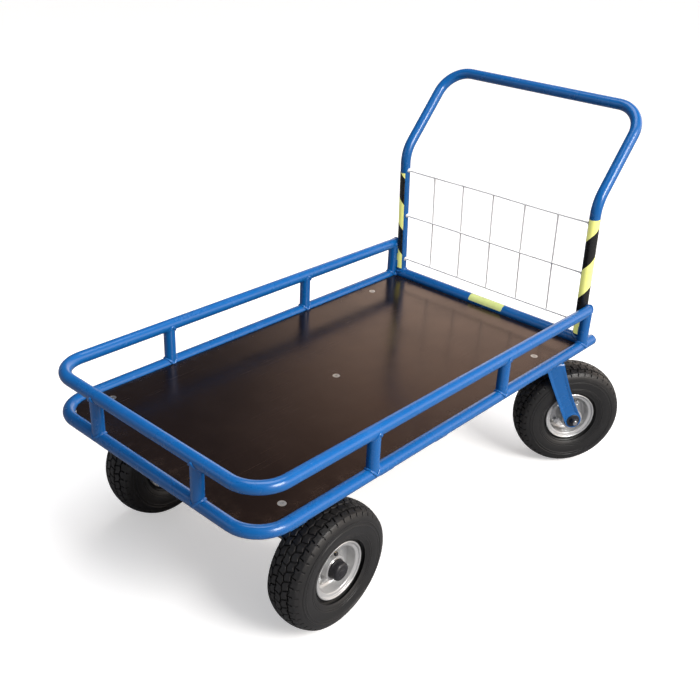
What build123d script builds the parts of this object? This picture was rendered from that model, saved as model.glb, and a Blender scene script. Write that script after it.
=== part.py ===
from build123d import *
from math import cos, radians, sin, sqrt
from types import SimpleNamespace
import os

# Platform trolley: tubular steel frame, plywood deck, raised rail, push handle
# with wire mesh, two fixed pneumatic wheels at the front and two swivel castors
# at the handle end.
#
# Frame: +X across the trolley, +Y towards the handle, +Z up.
# Origin: on the floor, below the middle of the overall outline.
# In piece names, "right" is the +X side and "left" the -X side.
# All sizes in millimetres. _R is a radius, _T a thickness, _BOT an underside.

os.makedirs("parts", exist_ok=True)

SIDES = (-1, 1)
UP = Vector(0, 0, 1)

# ---------------------------------------------------------------- dimensions
# tubes
TUBE_R = 12.5            # rails, posts, frame and handle: 25 mm tube
TUBE_T = 2.0
TUBE_BORE_R = TUBE_R - TUBE_T
CROSS_R = 15.0           # rear cross tube: 30 mm
CROSS_T = 2.5

# frame and rail, to the tube centrelines
HALF_X = 290.5
FRONT_Y = -593.0
CORNER_R = 66.0          # front corner bends
FRAME_Z = 323.5
RAIL_Z = 411.5
FRAME_END_Y = 481.5      # rear end of the side tubes
POST_REAR_Y = 434.5      # rear corner of the rail
RAIL_SPARE = 20.0        # extra length of rail and rear posts, cut off by the mitre
SIDE_POST_Y = (-311.0, 101.0)
FRONT_POST_X = 144.0
REAR_POST_XY = [(-HALF_X, POST_REAR_Y), (HALF_X, POST_REAR_Y)]

CROSS_Y = 451.0          # rear cross tube centreline
CROSS_Z = 328.5
CROSS_HALF = 284.0

MITRE_REACH = 60.0       # how far the mitre cutters reach from the rail's corner
CUTTER_HALF = 340.0      # half-length of the mitre cutters across the trolley

# handle
UPRIGHT_X = 270.0
BEND_Y, BEND_Z = 433.5, 664.4     # virtual corner where the uprights lean back
TOP_Y, TOP_Z = 593.0, 847.9       # virtual corner of the top bar
HANDLE_BEND_R = 75.0
HANDLE_TOP_R = 66.0
LEAN = (CROSS_Y - BEND_Y) / (BEND_Z - CROSS_Z)    # forward run of an upright per mm of rise
SLOPE = sqrt(1 + LEAN * LEAN)                     # length along an upright per mm of rise
UPRIGHT_DIR = (0, -LEAN, 1)
UPRIGHT_CLEARANCE = 0.42          # room round the uprights for the tape
UPRIGHT_STRAIGHT = 310.0          # straight stretch kept clear

# wire mesh between the uprights
WIRE_R = 1.9
WIRE_Z = (373.0, 495.0, 617.0)
WIRE_PITCH = 88.4
WIRE_OVERHANG = 3.0      # vertical wires past the end horizontal ones, in height

# hazard tape and label
WRAP_GAP = 0.02          # between a tube and what is wrapped on it
TAPE_T = 0.35
TAPE_HALF_ANGLE = 114.0
TAPE_AIM = -15.0         # towards the front from straight outwards
TAPE_BOT, TAPE_TOP = 347, 627
LABEL_T = 0.3
LABEL_START_X, LABEL_WIDTH = -38, 100
LABEL_ANGLES = (84.0, 170.0)      # from +Y, over the top towards the front

# deck
DECK_TOP = 325.5
DECK_T = 12.0
DECK_BOT = DECK_TOP - DECK_T
DECK_GAP = 0.5           # between the deck's edge and the frame tube
DECK_HALF_X = HALF_X - TUBE_R - DECK_GAP
DECK_REAR_Y = 434.0

# cross members (40 x 15 x 2 rectangular tube)
MEMBER_W, MEMBER_H, MEMBER_T = 40.0, 15.0, 2.0
MEMBER_Y = (-493.0, -260.0, -95.0, 303.0)
MEMBER_HALF = 286.0
MEMBER_BOT = DECK_BOT - MEMBER_H

# deck bolts
DECK_BOLT_X = 245
DECK_BOLT_XY = [(side * DECK_BOLT_X, y) for y in (MEMBER_Y[0], MEMBER_Y[3]) for side in SIDES]
DECK_BOLT_XY.append((0, MEMBER_Y[2]))
DECK_BOLT_R = 4.0
DECK_BOLT_HOLE_R = 4.2
BOLT_HEAD_R = 7.9
BOLT_HEAD_TOP = DECK_TOP - 0.1
BOLT_HEAD_RIM = DECK_TOP - 0.4    # lower edge of the head's straight rim
BOLT_HEAD_BOT = DECK_TOP - 4.3
BOLT_END_Z = MEMBER_BOT - 9.5
M8_HEX = 6.5             # half the width across flats
M12_HEX = 9.0
KINGPIN_HEX = 12

# wheels: 3.00-4 pneumatic, 260 x 85
WHEEL_R = 130.0
BEAD_R = 50.8
FLANGE_R = 61.0
RIM_T = 2.0
RIM_GAP = 0.05           # half the gap between the rim halves
HUB_R = 25.0
BEARING_R, BEARING_W = 21.0, 12.0
SEAT_R = BEARING_R + 0.02
AXLE_R = 10.0
RUN = 0.04               # radial running clearance of a bearing on its shaft
RIM_BOLT_CIRCLE_R = 34
RIM_BOLT_COUNT = 4
RIM_BOLT_START = 45      # degrees
RIM_HOLE_R = 4.2
WEB_FACE = 2.05          # bolted faces of the rim, from the wheel's middle
HUB_FLANGE_FACE = 5.0
VALVE_ANGLE = 35         # degrees from straight inwards to the axle
VALVE_FOOT_X, VALVE_FOOT_R = 8, 52.2      # axial and radial place of the stem's foot
FRONT_HUB_HALF = 22.0
CASTOR_HUB_HALF = 45.6

# front axle
WHEEL_X, AXLE_Y = 250.0, -376.8
HUB_IN = WHEEL_X - FRONT_HUB_HALF
HUB_OUT = WHEEL_X + FRONT_HUB_HALF
BRACKET_IN, BRACKET_OUT = 195.0, 201.0
BRACKET_HALF_Y = 128
BRACKET_FLANGE_W, BRACKET_FLANGE_T = 30, 5
STUD_R = 6.0             # threaded ends of the axle, and the castor axle bolts
NUT_BORE_R = 6.05

# castors
SWIVEL_X, SWIVEL_Y = 228.7, 403.8
SWIVEL_XY = [(-SWIVEL_X, SWIVEL_Y), (SWIVEL_X, SWIVEL_Y)]
TRAIL = 65.0
SWIVEL_ANGLE = 53.25     # trailing direction of the right castor from +X
PLATE_T = 5.0
MOUNT_T = 6.0
PLATE_BOT = DECK_BOT - MOUNT_T - PLATE_T
PLATE_HOLE_GRID = (80, 105, 2, 2)         # x pitch, y pitch, x count, y count
CROWN_BOT, CROWN_T = 283.0, 5.0
CROWN_TOP = CROWN_BOT + CROWN_T
FORK_IN, FORK_T = 46.0, 5.0
FORK_OUT = FORK_IN + FORK_T
AXLE_BOLT_HOLE_R = 6.1
KINGPIN_R, KINGPIN_HOLE_R = 8.0, 8.06
RACE_BORE_R = 14
BALL_R, BALL_RING_R, BALL_COUNT = 4.0, 23.5, 14
BALL_Z = CROWN_TOP + 6.9

# castor mount plates, between the rear member and the back of the cross tube
MOUNT_IN_X, MOUNT_OUT_X = 156, 287
MOUNT_FRONT_Y = MEMBER_Y[3] + MEMBER_W / 2
MOUNT_REAR_Y = CROSS_Y + CROSS_R

# ------------------------------------------------------------- outline tables
# Wheel sections: (distance along the axle from the middle, radius).
TYRE_WALL = [(31.2, 61.6), (38.6, 73.0), (42.5, 92.0), (40.4, 110.0), (35.0, 121.0)]
TYRE_CAVITY = [(16, 50.9), (22, 61), (32, 74), (36, 92), (32, 108), (18, 116.2)]
TYRE_CAVITY_TOP = 118.2
TUBE_OUTER = [(14.5, 51.4), (20.8, 61.8), (31, 75), (35, 92), (31, 107.4), (17.4, 115.2)]
TUBE_OUTER_TOP = 117.2
TUBE_INNER = [
    (12.6, 53.6), (18.4, 62.8), (28.6, 76.0), (32.8, 92), (29.2, 106.0), (16.6, 113.1),
]
TUBE_INNER_TOP = 115.0
RIM_HALF = [
    (RIM_GAP, HUB_R + 0.1),
    (RIM_T, HUB_R + 0.1),
    (RIM_T, 44.0),
    (6.5, BEAD_R - RIM_T),
    (28.5, BEAD_R - RIM_T),
    (28.5, 57.5),
    (31.0, 58.6),
    (30.4, FLANGE_R),
    (26.5, 59.0),
    (26.5, BEAD_R),
    (RIM_GAP, BEAD_R),
    (RIM_GAP, HUB_R + 0.1),
]

# Castor fork leg: (distance behind the swivel axis, height).
FORK_LEG = [
    (-31, CROWN_TOP), (17, CROWN_TOP), (42, 222), (62, 178),
    (83.6, 137.4), (46.0, 123.0), (22, 172), (-31, CROWN_TOP),
]
# Castor crown between the legs: (distance behind the swivel axis, sideways).
FORK_CROWN = [
    (-31, -FORK_OUT), (17, -FORK_OUT), (34, -16), (34, 16),
    (17, FORK_OUT), (-31, FORK_OUT), (-36, 14), (-36, -14), (-31, -FORK_OUT),
]


# ------------------------------------------------------------------- helpers
def save(builder, name):
    """Label a finished piece and write its STEP file."""
    builder.part.label = name
    export_step(builder.part, f"parts/{name}.step")


def upright_y(z):
    """Y of the upright's centreline at height z."""
    return CROSS_Y - LEAN * (z - CROSS_Z)


def u_points(rear_y, z):
    """Corners of a U that is open towards the handle."""
    return [(-HALF_X, rear_y, z), (-HALF_X, FRONT_Y, z), (HALF_X, FRONT_Y, z), (HALF_X, rear_y, z)]


def symmetric(half, top):
    """Points from left to right over the top, from the right half's points."""
    return [(-x, y) for x, y in half] + [(0, top)] + half[::-1]


def ring(outer, inner):
    """Draw a ring in the caller's sketch."""
    Circle(outer)
    Circle(inner, mode=Mode.SUBTRACT)


def hexagon(half_flats):
    """Draw a hexagon in the caller's sketch, from half its width across flats."""
    RegularPolygon(radius=half_flats, side_count=6, major_radius=False)


def wrap_outline(inner, thickness, start, end):
    """Draw an arc-shaped strip's outline in the caller's line."""
    outer = inner + thickness
    CenterArc((0, 0), inner, start, end - start)
    CenterArc((0, 0), outer, start, end - start)
    for angle in (start, end):
        c, s = cos(radians(angle)), sin(radians(angle))
        Line((inner * c, inner * s), (outer * c, outer * s))


def bent_tube(points, bend_radius, bore=None):
    """Round tube swept along a polyline with bends; solid if it has no bore."""
    with BuildPart() as tube:
        with BuildLine() as path:
            FilletPolyline(*points, radius=bend_radius)
        with BuildSketch(Plane(origin=path.line @ 0, z_dir=path.line % 0)):
            Circle(TUBE_R)
            if bore:
                Circle(bore, mode=Mode.SUBTRACT)
        sweep()
    return tube


# ------------------------------------------------- solid envelopes for coping
def cross_envelope():
    with BuildPart() as envelope:
        with BuildSketch(Plane(origin=(-CROSS_HALF, CROSS_Y, CROSS_Z), z_dir=(1, 0, 0))):
            Circle(CROSS_R)
        extrude(amount=2 * CROSS_HALF)
    return envelope.part


def upright_envelope():
    """Straight stretch of both uprights with room for the tape."""
    with BuildPart() as envelope:
        for side in SIDES:
            with BuildSketch(
                Plane(
                    origin=(side * UPRIGHT_X, CROSS_Y, CROSS_Z),
                    z_dir=(0, BEND_Y - CROSS_Y, BEND_Z - CROSS_Z),
                )
            ):
                Circle(TUBE_R + UPRIGHT_CLEARANCE)
            extrude(amount=UPRIGHT_STRAIGHT)
    return envelope.part


FRAME_POINTS = u_points(FRAME_END_Y, FRAME_Z)
RAIL_POINTS = u_points(POST_REAR_Y + RAIL_SPARE, RAIL_Z)
FRAME_ENVELOPE = bent_tube(FRAME_POINTS, CORNER_R).part
RAIL_ENVELOPE = bent_tube(RAIL_POINTS, CORNER_R).part
CROSS_ENVELOPE = cross_envelope()
UPRIGHT_ENVELOPE = upright_envelope()


# ------------------------------------------------------------ frame and rail
def deck_frame_tube():
    save(bent_tube(FRAME_POINTS, CORNER_R, TUBE_BORE_R), "deck_frame_tube")


def rail_posts():
    """Posts that stand between the lower frame and the rail."""
    with BuildPart() as posts:
        with BuildSketch(Plane.XY.offset(FRAME_Z)):
            with Locations(
                *[(side * HALF_X, y) for side in SIDES for y in SIDE_POST_Y],
                (-FRONT_POST_X, FRONT_Y),
                (FRONT_POST_X, FRONT_Y),
            ):
                ring(TUBE_R, TUBE_BORE_R)
        extrude(amount=RAIL_Z - FRAME_Z)
        add(FRAME_ENVELOPE, mode=Mode.SUBTRACT)
        add(RAIL_ENVELOPE, mode=Mode.SUBTRACT)
    save(posts, "rail_posts")


def rear_rail_posts():
    """Rear corner posts, mitred at the top to meet the rail."""
    front, rear = POST_REAR_Y - MITRE_REACH, POST_REAR_Y + MITRE_REACH
    cutter_bottom = FRAME_Z - 40
    with BuildPart() as posts:
        with BuildSketch(Plane.XY.offset(FRAME_Z)):
            with Locations(*REAR_POST_XY):
                ring(TUBE_R, TUBE_BORE_R)
        extrude(amount=RAIL_Z - FRAME_Z + RAIL_SPARE)
        # keep what is behind and below the mitre plane
        with BuildSketch(Plane.YZ.offset(-CUTTER_HALF)):
            with BuildLine():
                Polyline(
                    (front, cutter_bottom),
                    (rear, cutter_bottom),
                    (rear, RAIL_Z + MITRE_REACH),
                    (front, RAIL_Z - MITRE_REACH),
                    (front, cutter_bottom),
                )
            make_face()
        extrude(amount=2 * CUTTER_HALF, mode=Mode.INTERSECT)
        add(FRAME_ENVELOPE, mode=Mode.SUBTRACT)
        add(UPRIGHT_ENVELOPE, mode=Mode.SUBTRACT)
    save(posts, "rear_rail_posts")


def upper_rail_tube():
    front, rear = POST_REAR_Y - MITRE_REACH, POST_REAR_Y + MITRE_REACH
    with BuildPart() as rail:
        add(bent_tube(RAIL_POINTS, CORNER_R, TUBE_BORE_R).part)
        # cut the 45 degree mitre at both rear ends
        with BuildSketch(Plane.YZ.offset(-CUTTER_HALF)):
            with BuildLine():
                Polyline(
                    (front, RAIL_Z - MITRE_REACH),
                    (rear, RAIL_Z + MITRE_REACH),
                    (rear, RAIL_Z - MITRE_REACH),
                    (front, RAIL_Z - MITRE_REACH),
                )
            make_face()
        extrude(amount=2 * CUTTER_HALF, mode=Mode.SUBTRACT)
        add(UPRIGHT_ENVELOPE, mode=Mode.SUBTRACT)
    save(rail, "upper_rail_tube")


def rear_cross_tube():
    """Rear cross tube, coped to the side tubes and the rear posts."""
    with BuildPart() as tube:
        with BuildSketch(Plane(origin=(-CROSS_HALF, CROSS_Y, CROSS_Z), z_dir=(1, 0, 0))):
            ring(CROSS_R, CROSS_R - CROSS_T)
        extrude(amount=2 * CROSS_HALF)
        add(FRAME_ENVELOPE, mode=Mode.SUBTRACT)
        with BuildSketch(Plane.XY.offset(FRAME_Z)):
            with Locations(*REAR_POST_XY):
                Circle(TUBE_R)
        extrude(amount=60, mode=Mode.SUBTRACT)
    save(tube, "rear_cross_tube")


def tube_end_caps():
    """Plastic plugs in the rear ends of the side tubes."""
    head_t, plug_length, plug_wall = 3.5, 14, 1.95
    plug_r = TUBE_BORE_R - 0.05
    tube_ends = [(-HALF_X, FRAME_Z), (HALF_X, FRAME_Z)]
    with BuildPart() as caps:
        with BuildSketch(Plane.XZ.offset(-FRAME_END_Y)):
            with Locations(*tube_ends):
                Circle(TUBE_R)
        extrude(amount=-head_t)
        fillet(caps.faces().sort_by(Axis.Y)[-2:].edges(), radius=1.5)
        with BuildSketch(Plane.XZ.offset(-FRAME_END_Y)):
            with Locations(*tube_ends):
                ring(plug_r, plug_r - plug_wall)
        extrude(amount=plug_length)
    save(caps, "tube_end_caps")


def deck_cross_members():
    """Rectangular tubes that carry the deck."""
    with BuildPart() as members:
        for y in MEMBER_Y:
            with BuildSketch(
                Plane(
                    origin=(-MEMBER_HALF, y, DECK_BOT - MEMBER_H / 2),
                    x_dir=(0, 1, 0),
                    z_dir=(1, 0, 0),
                )
            ):
                RectangleRounded(MEMBER_W, MEMBER_H, 2.5)
                RectangleRounded(
                    MEMBER_W - 2 * MEMBER_T, MEMBER_H - 2 * MEMBER_T, 0.8, mode=Mode.SUBTRACT
                )
            extrude(amount=2 * MEMBER_HALF)
        with BuildSketch(Plane.XY.offset(MEMBER_BOT - 1)):
            with Locations(*DECK_BOLT_XY):
                Circle(DECK_BOLT_HOLE_R)
        extrude(amount=MEMBER_H + 2, mode=Mode.SUBTRACT)
        add(FRAME_ENVELOPE, mode=Mode.SUBTRACT)
    save(members, "deck_cross_members")


def castor_mount_plates():
    """Plates that the castors bolt to, between the rear member and cross tube."""
    with BuildPart() as plates:
        with BuildSketch(Plane.XY.offset(DECK_BOT - MOUNT_T)):
            for side in (1, -1):
                with BuildLine():
                    Polyline(
                        (side * MOUNT_IN_X, MOUNT_FRONT_Y),
                        (side * MOUNT_OUT_X, MOUNT_FRONT_Y),
                        (side * MOUNT_OUT_X, MOUNT_REAR_Y),
                        (side * MOUNT_IN_X, MOUNT_REAR_Y),
                        (side * MOUNT_IN_X, MOUNT_FRONT_Y),
                    )
                make_face()
            with Locations(*SWIVEL_XY):
                Circle(19, mode=Mode.SUBTRACT)
                with GridLocations(*PLATE_HOLE_GRID):
                    Circle(4.0, mode=Mode.SUBTRACT)
        extrude(amount=MOUNT_T)
        fillet(
            plates.edges()
            .filter_by(Axis.Z)
            .filter_by(lambda e: abs(e.center().Y - MOUNT_REAR_Y) < 0.5),
            radius=8,
        )
        add(FRAME_ENVELOPE, mode=Mode.SUBTRACT)
    save(plates, "castor_mount_plates")


# ---------------------------------------------------------------------- deck
def deck_panel():
    front_y = FRONT_Y + TUBE_R + DECK_GAP
    with BuildPart() as deck:
        with BuildSketch(Plane.XY.offset(DECK_BOT)):
            with BuildLine():
                FilletPolyline(
                    (-DECK_HALF_X, DECK_REAR_Y),
                    (-DECK_HALF_X, front_y),
                    (DECK_HALF_X, front_y),
                    (DECK_HALF_X, DECK_REAR_Y),
                    radius=CORNER_R - TUBE_R - DECK_GAP,
                )
                Line((DECK_HALF_X, DECK_REAR_Y), (-DECK_HALF_X, DECK_REAR_Y))
            make_face()
        extrude(amount=DECK_T)
        with Locations(*[(x, y, DECK_TOP) for x, y in DECK_BOLT_XY]):
            CounterSinkHole(
                radius=DECK_BOLT_HOLE_R,
                counter_sink_radius=2 * DECK_BOLT_HOLE_R,
                depth=DECK_T,
                counter_sink_angle=90,
            )
    save(deck, "deck_panel")


def deck_bolts():
    """Countersunk bolts with a cross recess, just below the deck's surface."""
    recess_length, recess_width, recess_depth = 8.0, 1.7, 2.4
    with BuildPart() as bolts:
        with BuildSketch(Plane.XY.offset(BOLT_END_Z)):
            with Locations(*DECK_BOLT_XY):
                Circle(DECK_BOLT_R)
        extrude(amount=BOLT_HEAD_BOT - BOLT_END_Z)
        for x, y in DECK_BOLT_XY:
            with BuildSketch(Plane(origin=(x, y, 0), x_dir=(1, 0, 0), z_dir=(0, -1, 0))):
                with BuildLine():
                    Polyline(
                        (0, BOLT_HEAD_TOP),
                        (BOLT_HEAD_R, BOLT_HEAD_TOP),
                        (BOLT_HEAD_R, BOLT_HEAD_RIM),
                        (DECK_BOLT_R, BOLT_HEAD_BOT),
                        (0, BOLT_HEAD_BOT),
                        (0, BOLT_HEAD_TOP),
                    )
                make_face()
            revolve(axis=Axis((x, y, 0), (0, 0, 1)))
        with BuildSketch(Plane.XY.offset(BOLT_HEAD_TOP)):
            with Locations(*DECK_BOLT_XY):
                Rectangle(recess_length, recess_width)
                Rectangle(recess_width, recess_length)
        extrude(amount=-recess_depth, mode=Mode.SUBTRACT)
    save(bolts, "deck_bolts")


def deck_lock_nuts():
    """Hexagon nuts with a round collar below."""
    nut_height, collar_height = 6.5, 1.6
    with BuildPart() as nuts:
        with BuildSketch(Plane.XY.offset(MEMBER_BOT)):
            with Locations(*DECK_BOLT_XY):
                hexagon(M8_HEX)
        extrude(amount=-nut_height)
        with BuildSketch(Plane.XY.offset(MEMBER_BOT - nut_height)):
            with Locations(*DECK_BOLT_XY):
                Circle(5.6)
        extrude(amount=-collar_height)
        with BuildSketch(Plane.XY.offset(MEMBER_BOT)):
            with Locations(*DECK_BOLT_XY):
                Circle(DECK_BOLT_R + 0.05)
        extrude(amount=-8.5, mode=Mode.SUBTRACT)
    save(nuts, "deck_lock_nuts")


# -------------------------------------------------------------------- handle
def handle_tube():
    points = [
        (-UPRIGHT_X, CROSS_Y, CROSS_Z),
        (-UPRIGHT_X, BEND_Y, BEND_Z),
        (-UPRIGHT_X, TOP_Y, TOP_Z),
        (UPRIGHT_X, TOP_Y, TOP_Z),
        (UPRIGHT_X, BEND_Y, BEND_Z),
        (UPRIGHT_X, CROSS_Y, CROSS_Z),
    ]
    bends = (HANDLE_BEND_R, HANDLE_TOP_R, HANDLE_TOP_R, HANDLE_BEND_R)
    with BuildPart() as handle:
        add(bent_tube(points, bends, TUBE_BORE_R).part)
        add(CROSS_ENVELOPE, mode=Mode.SUBTRACT)
    save(handle, "handle_tube")


def mesh_horizontal_wires():
    with BuildPart() as wires:
        for z in WIRE_Z:
            with BuildSketch(Plane(origin=(-UPRIGHT_X, upright_y(z), z), z_dir=(1, 0, 0))):
                Circle(WIRE_R)
            extrude(amount=2 * UPRIGHT_X)
        add(UPRIGHT_ENVELOPE, mode=Mode.SUBTRACT)
    save(wires, "mesh_horizontal_wires")


def mesh_vertical_wires():
    """Vertical wires, lying against the rear of the horizontal ones."""
    start_z = WIRE_Z[0] - WIRE_OVERHANG
    offset = 2 * WIRE_R / SLOPE
    with BuildPart() as wires:
        with BuildSketch(
            Plane(
                origin=(0, upright_y(start_z) + offset, start_z + offset * LEAN),
                x_dir=(1, 0, 0),
                z_dir=UPRIGHT_DIR,
            )
        ):
            with GridLocations(WIRE_PITCH, 1, 5, 1):
                Circle(WIRE_R)
        extrude(amount=(WIRE_Z[2] - WIRE_Z[0] + 2 * WIRE_OVERHANG) * SLOPE)
    save(wires, "mesh_vertical_wires")


def hazard_tapes():
    """A strip wrapped round the outer face of each upright."""
    with BuildPart() as tapes:
        for side in SIDES:
            aim = TAPE_AIM if side > 0 else 180 - TAPE_AIM
            with BuildSketch(
                Plane(
                    origin=(side * UPRIGHT_X, upright_y(TAPE_BOT), TAPE_BOT),
                    x_dir=(1, 0, 0),
                    z_dir=UPRIGHT_DIR,
                )
            ):
                with BuildLine():
                    wrap_outline(
                        TUBE_R + WRAP_GAP, TAPE_T, aim - TAPE_HALF_ANGLE, aim + TAPE_HALF_ANGLE
                    )
                make_face()
            extrude(amount=(TAPE_TOP - TAPE_BOT) * SLOPE)
    save(tapes, "hazard_tapes")


def label_plate():
    """Blank label wrapped over the rear cross tube."""
    with BuildPart() as label:
        with BuildSketch(
            Plane(origin=(LABEL_START_X, CROSS_Y, CROSS_Z), x_dir=(0, 1, 0), z_dir=(1, 0, 0))
        ):
            with BuildLine():
                wrap_outline(CROSS_R + WRAP_GAP, LABEL_T, *LABEL_ANGLES)
            make_face()
        extrude(amount=LABEL_WIDTH)
    save(label, "label_plate")


# ---------------------------------------------------------------- front axle
def axle_brackets():
    """Triangular plates that narrow round the axle, with a cut-out and top flange."""
    shoulder_z = MEMBER_BOT - 22
    neck_half, neck_z = 22.5, WHEEL_R + 8.5
    window_half, window_top = 74, MEMBER_BOT - 26
    with BuildPart() as brackets:
        for side in SIDES:
            with BuildSketch(
                Plane(origin=(side * BRACKET_IN, 0, 0), x_dir=(0, 1, 0), z_dir=(1, 0, 0))
            ):
                with Locations((AXLE_Y, WHEEL_R)):
                    Circle(24)
                with BuildLine():
                    Polyline(
                        (AXLE_Y - BRACKET_HALF_Y, MEMBER_BOT),
                        (AXLE_Y + BRACKET_HALF_Y, MEMBER_BOT),
                        (AXLE_Y + BRACKET_HALF_Y, shoulder_z),
                        (AXLE_Y + neck_half, neck_z),
                        (AXLE_Y - neck_half, neck_z),
                        (AXLE_Y - BRACKET_HALF_Y, shoulder_z),
                        (AXLE_Y - BRACKET_HALF_Y, MEMBER_BOT),
                    )
                make_face()
                with BuildLine():
                    FilletPolyline(
                        (AXLE_Y - window_half, window_top),
                        (AXLE_Y + window_half, window_top),
                        (AXLE_Y, WHEEL_R + 42),
                        radius=10,
                        close=True,
                    )
                make_face(mode=Mode.SUBTRACT)
                with Locations((AXLE_Y, WHEEL_R)):
                    Circle(AXLE_R + 0.03, mode=Mode.SUBTRACT)
            extrude(amount=side * (BRACKET_OUT - BRACKET_IN))
            # top flange, under the cross members
            with BuildSketch(Plane.XY.offset(MEMBER_BOT - BRACKET_FLANGE_T)):
                with Locations((side * (BRACKET_IN - BRACKET_FLANGE_W / 2), AXLE_Y)):
                    Rectangle(BRACKET_FLANGE_W, 2 * BRACKET_HALF_Y)
            extrude(amount=BRACKET_FLANGE_T)
    save(brackets, "axle_brackets")


def front_axle():
    """Full-width shaft with a thinner stud at each end."""
    shaft_half = HUB_OUT + 0.3
    stud_half = shaft_half + 8
    with BuildPart() as axle:
        with BuildSketch(Plane(origin=(-shaft_half, AXLE_Y, WHEEL_R), z_dir=(1, 0, 0))):
            Circle(AXLE_R)
        extrude(amount=2 * shaft_half)
        with BuildSketch(Plane(origin=(-stud_half, AXLE_Y, WHEEL_R), z_dir=(1, 0, 0))):
            Circle(STUD_R)
        extrude(amount=2 * stud_half)
        chamfer(
            axle.faces().sort_by(Axis.X)[0].edges() + axle.faces().sort_by(Axis.X)[-1].edges(),
            length=1.0,
        )
    save(axle, "front_axle")


def axle_spacers():
    """Sleeves on the axle between each bracket and hub."""
    with BuildPart() as spacers:
        for side in SIDES:
            with BuildSketch(
                Plane(origin=(side * BRACKET_OUT, AXLE_Y, WHEEL_R), z_dir=(side, 0, 0))
            ):
                ring(14.5, AXLE_R + 0.05)
            extrude(amount=HUB_IN - BRACKET_OUT - 0.3)
    save(spacers, "axle_spacers")


def axle_nuts():
    with BuildPart() as nuts:
        for side in SIDES:
            with BuildSketch(
                Plane(origin=(side * (HUB_OUT + 0.35), AXLE_Y, WHEEL_R), z_dir=(side, 0, 0))
            ):
                hexagon(M12_HEX)
                Circle(NUT_BORE_R, mode=Mode.SUBTRACT)
            extrude(amount=6.5)
    save(nuts, "axle_nuts")


def axle_end_caps():
    """Domed plastic caps over the axle nuts."""
    with BuildPart() as caps:
        for side in SIDES:
            centre = Vector(side * (HUB_OUT + 0.4), AXLE_Y, WHEEL_R)
            # section: x outwards along the axle, y radius
            with BuildSketch(Plane(origin=centre, x_dir=(side, 0, 0), z_dir=(0, -side, 0))):
                with BuildLine():
                    Polyline((0, 10.6), (0, 19.5), (13.0, 19.5))
                    ThreePointArc((13.0, 19.5), (15.6, 17.6), (16.8, 14.0))
                    ThreePointArc((16.8, 14.0), (17.8, 8.6), (18.2, 3.0))
                    Polyline(
                        (18.2, 3.0), (18.2, 0), (16.4, 0), (16.4, 3.0), (15.4, 10.6),
                        (14.0, 10.6), (14.0, 17.6), (1.5, 17.6), (1.5, 10.6), (0, 10.6),
                    )
                make_face()
            revolve(axis=Axis(centre, (1, 0, 0)))
    save(caps, "axle_end_caps")


# -------------------------------------------------------------------- wheels
def wheel_frame(centre, outward):
    """Planes and axis that a wheel's pieces are drawn on."""
    valve_dir = outward * sin(radians(VALVE_ANGLE)) - UP * cos(radians(VALVE_ANGLE))
    valve_foot = centre + outward * VALVE_FOOT_X + UP * VALVE_FOOT_R
    return SimpleNamespace(
        # x along the axle, y radial
        section=Plane(origin=centre, x_dir=outward, z_dir=outward.cross(UP)),
        # looks along the axle
        across=Plane(origin=centre, x_dir=UP, z_dir=outward),
        axle=Axis(centre, outward),
        valve=Plane(origin=valve_foot, z_dir=valve_dir),
    )


def wheel_tyre(name, frame):
    with BuildPart() as tyre:
        with BuildSketch(frame.section):
            with BuildLine():
                Polyline((26.4, 50.9), (26.4, 61.4), (31.2, 61.6))
                Spline(*TYRE_WALL)
                ThreePointArc((35.0, 121.0), (0, WHEEL_R), (-35.0, 121.0))
                Spline(*[(-x, y) for x, y in reversed(TYRE_WALL)])
                Polyline((-31.2, 61.6), (-26.4, 61.4), (-26.4, 50.9), (-16, 50.9))
                Spline(*symmetric(TYRE_CAVITY, TYRE_CAVITY_TOP))
                Line((16, 50.9), (26.4, 50.9))
            make_face()
            # circumferential grooves of the tread
            with Locations((-13, 129.5), (13, 129.5)):
                Rectangle(4, 7, mode=Mode.SUBTRACT)
        revolve(axis=frame.axle)
    save(tyre, f"{name}_tyre")


def wheel_inner_tube(name, frame):
    """Inner tube with its valve stem vulcanised on."""
    with BuildPart() as inner_tube:
        with BuildSketch(frame.section):
            for half, top, mode in (
                (TUBE_OUTER, TUBE_OUTER_TOP, Mode.ADD),
                (TUBE_INNER, TUBE_INNER_TOP, Mode.SUBTRACT),
            ):
                foot_x, foot_r = half[0]
                with BuildLine():
                    Spline(*symmetric(half, top))
                    Line((foot_x, foot_r), (-foot_x, foot_r))
                make_face(mode=mode)
        revolve(axis=frame.axle)
        with BuildSketch(frame.valve):
            Circle(3.6)
        extrude(amount=24)
    save(inner_tube, f"{name}_inner_tube")


def wheel_rim(name, frame):
    """Two pressed steel halves bolted together at the middle."""
    with BuildPart() as rim:
        with BuildSketch(frame.section):
            for side in (1, -1):
                with BuildLine():
                    Polyline(*[(side * x, y) for x, y in RIM_HALF])
                make_face()
        revolve(axis=frame.axle)
        # bolt holes and valve hole
        with BuildSketch(frame.across.offset(-12)):
            with PolarLocations(RIM_BOLT_CIRCLE_R, RIM_BOLT_COUNT, start_angle=RIM_BOLT_START):
                Circle(RIM_HOLE_R)
        extrude(amount=24, mode=Mode.SUBTRACT)
        with BuildSketch(frame.valve):
            Circle(4.6)
        extrude(amount=12, mode=Mode.SUBTRACT)
    save(rim, f"{name}_rim_halves")


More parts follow.
